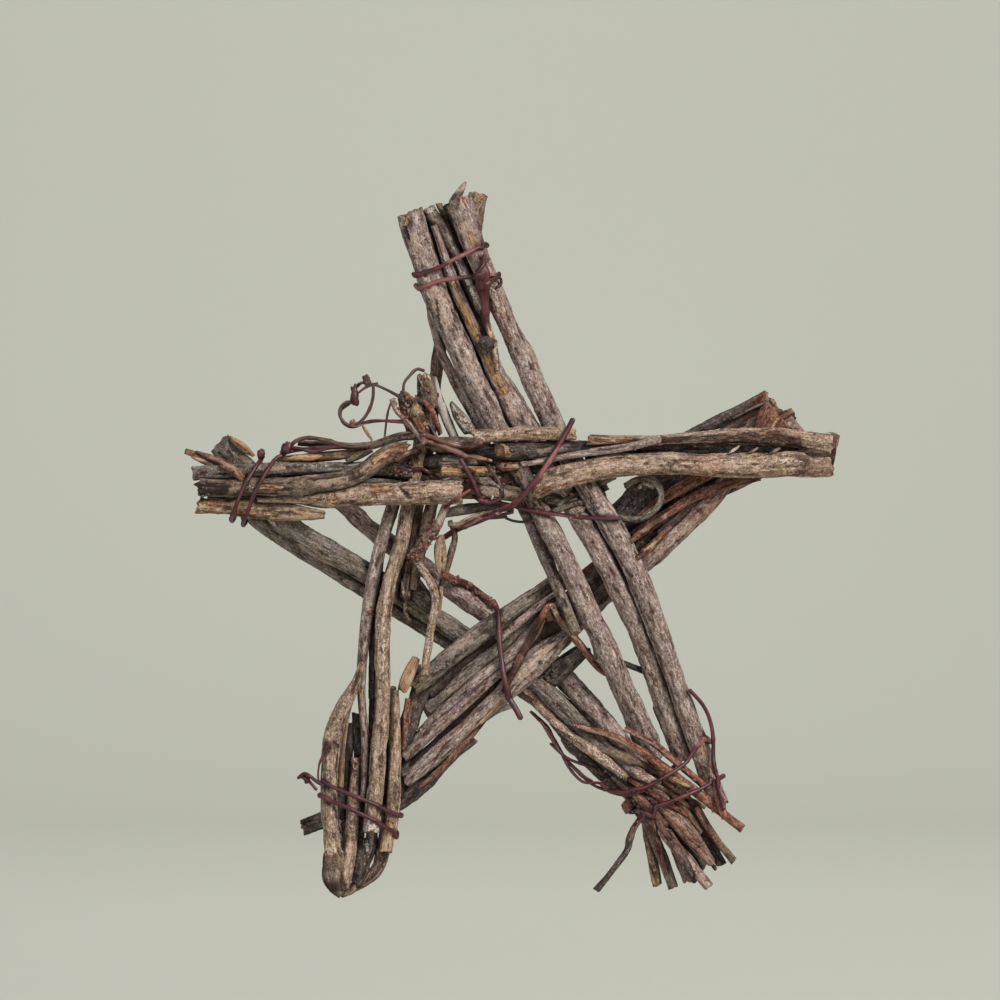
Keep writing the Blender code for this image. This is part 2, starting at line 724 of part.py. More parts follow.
def as_mesh(item, home):
    # A closed mesh in place of a curve object, with its end caps joined to its wall
    bpy.context.view_layer.update()
    held = item.evaluated_get(bpy.context.evaluated_depsgraph_get())
    mesh = bpy.data.meshes.new_from_object(held)
    solid = bmesh.new()
    solid.from_mesh(mesh)
    bmesh.ops.remove_doubles(solid, verts=solid.verts, dist=0.00001)
    bmesh.ops.recalc_face_normals(solid, faces=solid.faces)
    solid.to_mesh(mesh)
    solid.free()
    name = item.name
    copy = bpy.data.objects.new(name + "_solid", mesh)
    copy.matrix_world = item.matrix_world
    home.objects.link(copy)
    curve = item.data
    bpy.data.objects.remove(item)
    bpy.data.curves.remove(curve)
    copy.name = name
    return copy


def build_star():
    for item in list(bpy.data.objects):
        bpy.data.objects.remove(item)
    home = bpy.data.collections.new("twig_star")
    cutters = bpy.data.collections.new("twig_star_joiners")
    bpy.context.scene.collection.children.link(home)
    bpy.context.scene.collection.children.link(cutters)

    twigs = []
    tones = {}
    for name, (bundle, layer, diameters, tone, route) in TWIGS.items():
        twigs.append(make_twig(name, bundle, layer, diameters, route))
        tones[name] = tone
    stem = make_twig(FORK, STEM[0], STEM[1], STEM[2], STEM[4])
    prong = make_twig(FORK + "_prong", PRONG[0], PRONG[1], PRONG[2], PRONG[4])
    twigs += [stem, prong]
    settle(twigs, stem, prong)

    strands = list(twigs)
    bindings = []
    for name in BINDINGS:
        binding = make_binding(name, strands)
        bindings.append(binding)
    strands += bindings
    vines = []
    for name, (diameter, route) in VINES.items():
        vine = lay(name, diameter, route, strands, VINE_STEP)
        vines.append(vine)
        strands.append(vine)

    for twig in twigs:
        if twig not in (stem, prong):
            build_tube(twig, tones[twig.name], home)
    for strand in bindings + vines:
        build_tube(strand, "vine", home)

    fork = as_mesh(build_tube(stem, FORK_TONE, home), home)
    branch = as_mesh(build_tube(prong, FORK_TONE, cutters), cutters)
    branch.hide_render = True
    branch.display_type = "WIRE"
    joint = fork.modifiers.new("prong", "BOOLEAN")
    joint.operation = "UNION"
    joint.solver = "EXACT"
    joint.object = branch
    for polygon in fork.data.polygons:
        polygon.use_smooth = True


build_star()
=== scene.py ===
import json
import math

import bmesh
import bpy
import numpy as np
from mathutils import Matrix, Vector
from mathutils.bvhtree import BVHTree

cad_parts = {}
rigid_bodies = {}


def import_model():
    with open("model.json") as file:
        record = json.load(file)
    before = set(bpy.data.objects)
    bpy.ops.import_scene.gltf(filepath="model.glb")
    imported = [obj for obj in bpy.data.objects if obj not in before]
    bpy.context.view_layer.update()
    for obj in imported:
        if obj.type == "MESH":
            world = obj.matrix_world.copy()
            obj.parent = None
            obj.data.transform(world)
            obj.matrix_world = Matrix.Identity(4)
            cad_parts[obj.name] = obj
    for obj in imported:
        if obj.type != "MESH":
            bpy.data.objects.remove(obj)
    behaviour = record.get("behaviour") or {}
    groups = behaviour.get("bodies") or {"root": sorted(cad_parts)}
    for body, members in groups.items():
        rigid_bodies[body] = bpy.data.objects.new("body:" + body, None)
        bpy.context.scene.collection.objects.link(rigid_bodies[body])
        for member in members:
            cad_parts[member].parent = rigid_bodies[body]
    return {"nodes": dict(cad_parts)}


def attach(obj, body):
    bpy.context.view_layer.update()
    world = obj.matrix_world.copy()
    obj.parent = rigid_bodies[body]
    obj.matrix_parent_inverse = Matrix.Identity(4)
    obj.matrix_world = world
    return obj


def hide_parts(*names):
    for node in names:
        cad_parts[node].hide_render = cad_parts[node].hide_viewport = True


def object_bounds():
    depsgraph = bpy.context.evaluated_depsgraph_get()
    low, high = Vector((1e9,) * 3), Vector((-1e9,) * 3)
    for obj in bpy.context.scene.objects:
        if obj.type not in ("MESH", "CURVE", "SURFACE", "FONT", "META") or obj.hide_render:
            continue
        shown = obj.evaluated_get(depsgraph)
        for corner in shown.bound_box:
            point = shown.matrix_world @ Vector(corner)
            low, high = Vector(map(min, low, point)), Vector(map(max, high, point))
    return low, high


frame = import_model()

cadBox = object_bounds()

# The layout sheet that the star's marks are set out on: squares across and down
sheet = {
    "metresAcross": 0.248 / 652,
    "metresDown": 0.269 / 708,
    "hangSquare": (452, 262),
    "middleSquare": (500, 500),
    "frameSquares": 1000,
}
seeds = {"twig": 100, "strand": 900, "fork": 300, "vine": 400, "looseTwig": 500, "looseVine": 600,
         "lumps": 77}


def toPlane(square):
    x = (square[0] - sheet["hangSquare"][0]) * sheet["metresAcross"]
    z = (sheet["hangSquare"][1] - square[1]) * sheet["metresDown"]
    return x, z


def tint(code):
    # A colour written as on the web, turned into Blender's linear values
    parts = [int(code[i:i + 2], 16) / 255 for i in (0, 2, 4)]
    return [p / 12.92 if p <= 0.04045 else ((p + 0.055) / 1.055) ** 2.4 for p in parts] + [1.0]


# Smooth random relief, the same on every run
def cornerValue(cell, seed):
    n = cell[..., 0] * 374761393 + cell[..., 1] * 668265263 + cell[..., 2] * 1440662683 + seed * 97463
    n = (n ^ (n >> 13)) * 1274126177
    n = n ^ (n >> 16)
    return (n & 0xFFFF) / 32767.5 - 1.0


def softNoise(points, seed):
    # From about -1 to 1, with lumps one unit wide
    base = np.floor(points).astype(np.int64)
    part = points - base
    part = part * part * (3 - 2 * part)
    total = np.zeros(points.shape[:-1])
    for corner in range(8):
        offset = np.array([corner & 1, corner >> 1 & 1, corner >> 2 & 1])
        weight = np.prod(np.where(offset == 1, part, 1 - part), axis=-1)
        total += weight * cornerValue(base + offset, seed)
    return total


def layeredNoise(points, seed, octaves):
    # Each octave is about half as wide and half as high as the one before
    total = np.zeros(points.shape[:-1])
    for octave in range(octaves):
        total += softNoise(points * 2.03 ** octave + 11.7 * octave, seed + octave) * 0.55 ** octave
    return total


def ease(values, low, high):
    share = np.clip((values - low) / (high - low), 0, 1)
    return share * share * (3 - 2 * share)


# Reading a tube of the frame: the middles and radii of its rings, from one end to the other
tubeReading = {"weld": 0.00002, "flatAngle": 0.01, "patches": 4}


def flatPatches(solid):
    # The flat patches of a solid, the one whose rim is sharpest all round first
    seen = set()
    patches = []
    for start in solid.faces:
        if start in seen:
            continue
        seen.add(start)
        patch = [start]
        rim = math.pi
        for face in patch:
            for edge in face.edges:
                angle = edge.calc_face_angle(0.0)
                if angle > tubeReading["flatAngle"]:
                    rim = min(rim, angle)
                    continue
                for other in edge.link_faces:
                    if other not in seen:
                        seen.add(other)
                        patch.append(other)
        patches.append((rim, {vertex for face in patch for vertex in face.verts}))
    return [corners for rim, corners in sorted(patches, key=lambda pair: -pair[0])]


def ringsFrom(corners):
    # Rows of x, y, z, radius and the number of corners, walking away from an end
    ring = list(corners)
    seen = set(ring)
    rings = []
    while ring:
        places = np.array([vertex.co[:] for vertex in ring])
        middle = places.mean(axis=0)
        radius = np.linalg.norm(places - middle, axis=1).mean()
        rings.append((*middle, radius, len(ring)))
        following = []
        for vertex in ring:
            for edge in vertex.link_edges:
                other = edge.other_vert(vertex)
                if other not in seen:
                    seen.add(other)
                    following.append(other)
        ring = following
    return np.array(rings)


def readTube(node):
    solid = bmesh.new()
    solid.from_mesh(frame["nodes"][node].data)
    bmesh.ops.remove_doubles(solid, verts=solid.verts, dist=tubeReading["weld"])
    rings = [ringsFrom(corners) for corners in flatPatches(solid)[:tubeReading["patches"]]]
    solid.free()
    return rings


def tubePath(node, step):
    return smoothPath(readTube(node)[0][:, :4], step)


def smoothPath(points, step):
    # Evenly spaced places on a smooth curve through the points; any further columns go along
    points = np.asarray(points, dtype=float)
    before = 2 * points[0] - points[1]
    after = 2 * points[-1] - points[-2]
    padded = np.vstack([before, points, after])
    fine = []
    for i in range(len(points) - 1):
        p0, p1, p2, p3 = padded[i:i + 4]
        for u in np.linspace(0, 1, 16, endpoint=False):
            fine.append(0.5 * (2 * p1 + (p2 - p0) * u + (2 * p0 - 5 * p1 + 4 * p2 - p3) * u * u
                               + (3 * p1 - 3 * p2 + p3 - p0) * u ** 3))
    fine.append(points[-1])
    fine = np.array(fine)
    reach = pathReach(fine)
    count = max(4, int(round(reach[-1] / step)))
    wanted = np.linspace(0, reach[-1], count + 1)
    return np.stack([np.interp(wanted, reach, fine[:, c]) for c in range(fine.shape[1])], axis=1)


def pathReach(path):
    # How far along a path each of its places is
    return np.concatenate([[0], np.cumsum(np.linalg.norm(np.diff(path[:, :3], axis=0), axis=1))])


def unit(vectors):
    return vectors / np.linalg.norm(vectors, axis=-1, keepdims=True)


def frontFrames(middles):
    # At each place: along the tube, toward the front of the star, and sideways
    along = unit(np.gradient(middles, axis=0))
    front = np.array([0.0, -1.0, 0.0]) - along * (along @ np.array([0.0, -1.0, 0.0]))[:, None]
    front = unit(front)
    return along, front, np.cross(front, along)


def carriedFrames(middles):
    # For a vine that runs every way: each frame is the one before, turned as little as it can be
    along = unit(np.gradient(middles, axis=0))
    start = np.cross(along[0], [0.0, 0.0, 1.0])
    if np.linalg.norm(start) < 0.1:
        start = np.cross(along[0], [1.0, 0.0, 0.0])
    front = [start / np.linalg.norm(start)]
    for direction in along[1:]:
        turned = front[-1] - direction * np.dot(front[-1], direction)
        front.append(turned / np.linalg.norm(turned))
    front = np.array(front)
    return along, front, np.cross(front, along)


class Tube:
    # A path with radii, its frames, and what is worked out for the places of its skin
    def __init__(self, path, frames, sides, rng):
        self.path = path
        self.rng = rng
        self.radius = path[:, 3]
        self.widest = self.radius.max()
        self.along, self.front, self.side = frames
        self.reach = pathReach(path)
        self.theta = np.linspace(-math.pi, math.pi, sides, endpoint=False)
        self.cosine = np.cos(self.theta)
        self.sine = np.sin(self.theta)
        self.shift = rng.uniform(0, 400, 3)

    def space(self):
        # The places of the skin as if the tube were straight, in millimetres
        space = np.empty((len(self.path), len(self.theta), 3))
        space[..., 0] = 1000 * self.widest * self.cosine
        space[..., 1] = 1000 * self.widest * self.sine
        space[..., 2] = 1000 * self.reach[:, None]
        return space + self.shift

    def nearest(self, square):
        # Where a square of the layout lies on the unrolled skin: how far along, and how far round
        x, z = toPlane(square)
        row = int(np.hypot(self.path[:, 0] - x, self.path[:, 2] - z).argmin())
        offset = np.array([x - self.path[row, 0], 0.0, z - self.path[row, 2]])
        across = float(offset @ self.side[row])
        turn = math.asin(max(-0.98, min(0.98, across / self.radius[row])))
        return self.reach[row], turn * self.widest

    def skin(self, height, wander, rate, seed, thin=1.0, wide=1.0):
        # The places of the skin, round middles that drift a little off the path
        none = 0 * self.reach
        drift = [softNoise(np.stack([self.reach * rate, none + c, none], axis=1), seed + c) for c in range(2)]
        drift = np.stack(drift, axis=1) * self.radius[:, None] * wander
        middles = self.path[:, :3] + self.front * drift[:, :1] + self.side * drift[:, 1:]
        sideways = self.sine[None, :] * np.reshape(wide, (-1, 1))
        spoke = (self.front[:, None, :] * self.cosine[None, :, None] * thin
                 + self.side[:, None, :] * sideways[..., None])
        return middles[:, None, :] + spoke * height[..., None]


def tubeMesh(name, tubes):
    # Closed tubes from rows of places; every other entry is a field with three values a place
    verts = []
    faces = []
    fields = {}
    for rows in tubes:
        start = sum(len(part) for part in verts)
        grid = rows["grid"]
        count, sides = grid.shape[:2]
        verts.append(np.vstack([grid.reshape(-1, 3), grid[0].mean(axis=0), grid[-1].mean(axis=0)]))
        i = np.arange(count - 1)[:, None] * sides
        j = np.arange(sides)
        k = (j + 1) % sides
        quads = np.stack([i + j, i + sides + j, i + sides + k, i + k], axis=-1).reshape(-1, 4)
        pole = count * sides
        base = (count - 1) * sides
        top = np.stack([np.full(sides, pole), j, k], axis=-1)
        bottom = np.stack([np.full(sides, pole + 1), base + k, base + j], axis=-1)
        faces += (quads + start).tolist() + (top + start).tolist() + (bottom + start).tolist()
        for field, values in rows.items():
            if field != "grid":
                ends = [values[0].mean(axis=0), values[-1].mean(axis=0)]
                fields.setdefault(field, []).append(np.vstack([values.reshape(-1, 3), *ends]))
    mesh = bpy.data.meshes.new(name)
    mesh.from_pydata(np.vstack(verts).tolist(), [], faces)
    for field, values in fields.items():
        attribute = mesh.attributes.new(field, "FLOAT_VECTOR", "POINT")
        attribute.data.foreach_set("vector", np.vstack(values).astype(np.float32).ravel())
    mesh.shade_smooth()
    return mesh


def addPiece(name, tubes, material, nodes=()):
    mesh = tubeMesh(name, tubes)
    mesh.materials.append(material)
    piece = bpy.data.objects.new(name, mesh)
    bpy.context.scene.collection.objects.link(piece)
    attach(piece, "root")
    if nodes:
        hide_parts(*nodes)


# How near each place of a piece is to the frame's other pieces, for grime and painted shade in the crevices
creviceLook = {"near": 0.0003, "far": 0.0026, "rowSkip": 3, "sideSkip": 2}


def nodeTrees():
    trees = {}
    for node, piece in frame["nodes"].items():
        places = [piece.matrix_world @ vertex.co for vertex in piece.data.vertices]
        faces = [list(face.vertices) for face in piece.data.polygons]
        corners = np.array([place[:] for place in places])
        reach = creviceLook["far"]
        trees[node] = (corners.min(axis=0) - reach, corners.max(axis=0) + reach,
                       BVHTree.FromPolygons(places, faces))
    return trees


solidTrees = nodeTrees()


def creviceShare(grid, own):
    # 1 against another piece and 0 well away, worked out on a part of the places
    count, around = grid.shape[:2]
    rows = np.unique(np.append(np.arange(0, count, creviceLook["rowSkip"]), count - 1))
    sides = np.arange(0, around, creviceLook["sideSkip"])
    low = grid.min(axis=(0, 1))
    high = grid.max(axis=(0, 1))
    near = [tree for node, (least, most, tree) in solidTrees.items()
            if node != own and (least < high).all() and (most > low).all()]
    gap = np.full((len(rows), len(sides)), creviceLook["far"])
    for i, row in enumerate(rows):
        for j, side in enumerate(sides):
            place = Vector(grid[row, side])
            for tree in near:
                distance = tree.find_nearest(place, creviceLook["far"])[3]
                if distance is not None and distance < gap[i, j]:
                    gap[i, j] = distance
    wrapped = np.append(gap, gap[:, :1], axis=1)
    wide = np.array([np.interp(np.arange(around), np.append(sides, around), line) for line in wrapped])
    full = np.array([np.interp(np.arange(count), rows, line) for line in wide.T]).T
    return 1 - ease(full, creviceLook["near"], creviceLook["far"])


# Shader wiring
class Value:
    # A socket's output that can be used in sums
    def __init__(self, surface, socket):
        self.surface = surface
        self.socket = socket

    def math(self, operation, *terms):
        settings = {"operation": operation}
        return self.surface.node("ShaderNodeMath", settings, dict(enumerate(terms)))

    def __add__(self, other):
        return self.math("ADD", self, other)

    def __radd__(self, other):
        return self.math("ADD", other, self)

    def __sub__(self, other):
        return self.math("SUBTRACT", self, other)

    def __rsub__(self, other):
        return self.math("SUBTRACT", other, self)

    def __mul__(self, other):
        return self.math("MULTIPLY", self, other)

    def __rmul__(self, other):
        return self.math("MULTIPLY", other, self)

    def wave(self):
        return self.math("SINE", self)

    def size(self):
        return self.math("ABSOLUTE", self)


class Surface:
    # A material and the nodes that make it
    def __init__(self, name):
        self.material = bpy.data.materials.new(name)
        self.material.use_nodes = True
        self.tree = self.material.node_tree
        self.shader = self.tree.nodes["Principled BSDF"]

    def node(self, kind, settings=None, inputs=None, output=0):
        made = self.tree.nodes.new(kind)
        for key, value in (settings or {}).items():
            setattr(made, key, value)
        for key, value in (inputs or {}).items():
            self.feed(made.inputs[key], value)
        return Value(self, made.outputs[output])

    def feed(self, socket, value):
        if isinstance(value, Value):
            self.tree.links.new(value.socket, socket)
        else:
            socket.default_value = value

    def field(self, name):
        # One of the mesh's own fields, as a vector
        return self.node("ShaderNodeAttribute", {"attribute_name": name}, output=1)

    def parts(self, vector):
        split = self.node("ShaderNodeSeparateXYZ", None, {0: vector})
        return [Value(self, output) for output in split.socket.node.outputs]

    def stretched(self, vector, lengthwise):
        factors = (1.0, 1.0, lengthwise)
        return self.node("ShaderNodeVectorMath", {"operation": "MULTIPLY"}, {0: vector, 1: factors})

    def moved(self, vector, amounts):
        return self.node("ShaderNodeVectorMath", {"operation": "ADD"}, {0: vector, 1: amounts})

    def noise(self, vector, scale, detail=3.0, roughness=0.55):
        return self.node("ShaderNodeTexNoise", None, {
            "Vector": vector, "Scale": scale, "Detail": detail, "Roughness": roughness})

    def cells(self, vector, scale, output=0):
        return self.node("ShaderNodeTexVoronoi", None, {"Vector": vector, "Scale": scale}, output)

    def rise(self, value, low, high, first=0.0, last=1.0):
        return self.node("ShaderNodeMapRange", {"interpolation_type": "SMOOTHSTEP"}, {
            "Value": value, "From Min": low, "From Max": high, "To Min": first, "To Max": last})

    def mix(self, factor, first, second):
        return self.node("ShaderNodeMix", {"data_type": "RGBA"}, {0: factor, 6: first, 7: second}, 2)

    def layered(self, colour, layers):
        # Colours laid over one another: each with its share, or a value and how the share rises
        for code, value, *rising in layers:
            share = self.rise(value, *rising) if rising else value
            colour = self.mix(share, colour, tint(code))
        return colour

    def bump(self, height, strength, distance):
        return self.node("ShaderNodeBump", None, {
            "Height": height, "Strength": strength, "Distance": distance})

    def finish(self, colour, roughness, normal, **constants):
        self.feed(self.shader.inputs["Base Color"], colour)
        self.feed(self.shader.inputs["Roughness"], roughness)
        self.feed(self.shader.inputs["Normal"], normal)
        for key, value in constants.items():
            self.shader.inputs[key.replace("_", " ")].default_value = value
        return self.material


def named(parts, codes):
    # Names and colour codes, side by side
    return dict(zip(parts.split(), codes.split()))


# Bark, with bare wood where it has peeled and end grain where it is cut
barkParts = "deep shade middle light warm cool fleck"
barkTones = {
    "grey": named(barkParts, "24160d 433226 655a50 968c81 72654f 696061 a9a297"),
    "brown": named(barkParts, "23140b 442e22 635143 92806f 736048 695855 a4958a"),
    "dark": named(barkParts, "170e09 2e211a 433a35 766d67 54473a 4f4646 817872"),
    "rose": named(barkParts, "2b150c 50392e 7f6c63 bbaca2 8a7668 856d6d cabbb0"),
    "pale": named(barkParts, "2b160c 513626 806a59 c6ac98 927a5e 8c736a dcc7b5"),
    "tan": named(barkParts, "301f14 584433 806a53 b39b82 9d8059 867067 c9b495"),
    "rust": named(barkParts, "210f0a 43271f 6c4638 a17e6f 895840 6d4843 b39384"),
}
# The grime tint darkens the crevices between twigs: grime and painted shade
markTints = {"worn": "ad9180", "rusty": "7c4430", "paleDot": "bab0a4", "tornEdge": "6d4630",
             "stain": "1f1712", "chalk": "c9c1b6", "grimeAndShade": "241109"}
woodTints = {"dark": "87603f", "light": "bd9c76", "speck": "65422b", "dry": "bdae99"}
endTints = {"ring": "7c6047", "between": "aa8d6d", "rim": "5c4331", "pith": "5d3d26", "crack": "3f2c22"}
slotOf = {tone: tone + "_bark" for tone in barkTones}
slotOf.update(tan="bare_tan_wood", red="dark_red_vine")


def makeBark(tone):
    look = barkTones[tone]
    surface = Surface(tone + "Bark")
    place = surface.field("barkSpace")
    bare, stain, chalk = surface.parts(surface.field("marks"))
    worn, rusty, relief = surface.parts(surface.field("wear"))
    cutEnd, radial, crevice = surface.parts(surface.field("form"))

    mottle = surface.noise(surface.stretched(place, 0.6), 0.75, 5.0, 0.68)
    streak = surface.noise(surface.stretched(place, 0.17), 1.2, 4.0, 0.6)
    speck = surface.noise(surface.moved(place, (7.0, 3.0, 5.0)), 1.5, 2.0, 0.6)
    warmth = surface.noise(place, 0.12)
    coolness = surface.noise(surface.moved(place, (40.0, 9.0, 23.0)), 0.14)
    wavy = surface.noise(surface.stretched(place, 0.16), 0.8, 3.0, 0.5)
    crack = (1 - surface.rise((wavy - 0.5).size(), 0.0, 0.022)) * surface.rise(mottle, 0.44, 0.56)
    dotPlace = surface.moved(place, (31.0, 7.0, 3.0))
    dots = surface.cells(dotPlace, 0.62)
    chosen = surface.parts(surface.cells(dotPlace, 0.62, 1))
    darkDot = (1 - surface.rise(dots, 0.14, 0.34)) * surface.rise(chosen[0], 0.55, 0.6)
    paleDot = (1 - surface.rise(dots, 0.12, 0.30)) * surface.rise(chosen[1], 0.60, 0.65)

    # The middle tone drifts from tan to mauve; paler and darker mottling lies over it, with painted shade in
    # the furrows of the relief
    tone = 0.62 * mottle + 0.27 * streak + 0.11 * speck + 0.05 * relief
    torn = 0.64 * bare + 1.2 * (mottle - 0.5) + 0.9 * (streak - 0.5)
    colour = surface.layered(tint(look["middle"]), [
        (look["warm"], warmth, 0.46, 0.64, 0.0, 0.8),
        (look["cool"], coolness, 0.48, 0.66, 0.0, 0.8),
        (markTints["worn"], worn + 0.3 * (streak - 0.5), 0.3, 0.7, 0.0, 0.6),
        (markTints["rusty"], rusty + 0.5 * (mottle - 0.5), 0.3, 0.7, 0.0, 0.85),
        (look["light"], tone, 0.49, 0.61, 0.0, 0.85),
        (look["shade"], tone, 0.37, 0.49, 0.88, 0.0),
        (look["fleck"], speck, 0.55, 0.72, 0.0, 0.42),
        (look["deep"], speck, 0.30, 0.45, 0.5, 0.0),
        # Deep tone laid in the furrows of the relief: painted shade
        (look["deep"], 0 - relief, 0.15, 0.9, 0.0, 0.7),
        (look["deep"], crack * (1 - worn) * 0.75),
        (markTints["paleDot"], paleDot * 0.4),
        (look["deep"], darkDot * 0.7),
        (markTints["tornEdge"], torn, 0.24, 0.40, 0.0, 0.7)])

    # Bare wood shows as streaks of tan, with an orange edge where the bark tore
    core = surface.rise(torn, 0.40, 0.60, 0.0, 0.88)
    grain = surface.noise(surface.stretched(place, 0.06), 2.2, 4.0, 0.6)
    wood = surface.layered(tint(woodTints["dark"]), [
        (woodTints["light"], grain, 0.34, 0.66),
        (woodTints["speck"], speck, 0.54, 0.70, 0.0, 0.75),
        (woodTints["dry"], warmth, 0.5, 0.62, 0.0, 0.6)])
    blot = 0.8 * stain + 1.6 * (mottle - 0.5) + 1.1 * (streak - 0.5)
    bloom = 0.7 * chalk + 1.6 * (speck - 0.5) + 1.2 * (mottle - 0.5)
    colour = surface.layered(surface.mix(core, colour, wood), [
        (markTints["stain"], blot, 0.45, 0.85, 0.0, 0.9),
        (markTints["chalk"], bloom, 0.50, 0.80, 0.0, 0.75)])

    # Rings and rays on a cut end
    rings = (radial * 26.0 + 4.0 * mottle).wave()
    endWood = surface.layered(tint(endTints["ring"]), [
        (endTints["between"], rings, -0.8, 0.8),
        (endTints["rim"], radial, 0.66, 0.86),
        (endTints["pith"], radial, 0.06, 0.2, 1.0, 0.0),
        (endTints["crack"], streak, 0.50, 0.68, 0.0, 0.85)])
    # Grime and painted shade in the crevices, where a piece lies against another
    colour = surface.layered(surface.mix(cutEnd, colour, endWood), [
        (markTints["grimeAndShade"], crevice + 0.5 * (mottle - 0.5), 0.15, 0.9, 0.0, 0.8)])

    height = (0.6 * mottle + 0.5 * streak + 0.35 * speck - 0.3 * darkDot + 0.25 * paleDot
              - 0.5 * crack * (1 - core))
    roughness = surface.rise(mottle, 0.3, 0.7, 0.95, 0.78)
    return surface.finish(colour, roughness, surface.bump(height, 0.8, 0.0005), Specular_IOR_Level=0.25)


barks = {tone: makeBark(tone) for tone in barkTones}
print("bark materials made")


# How a twig looks: its tone, its options, and its marks as (from across and down, to across and down,
# width) with a strength if it isn't 1. A strand is (widths, squares), and so is a piece with its own path.
def twig(tone, **look):
    return {"tone": tone, **look}


def loose(tone, widths, *points, **look):
    return {"tone": tone, "widths": widths, "points": points, **look}


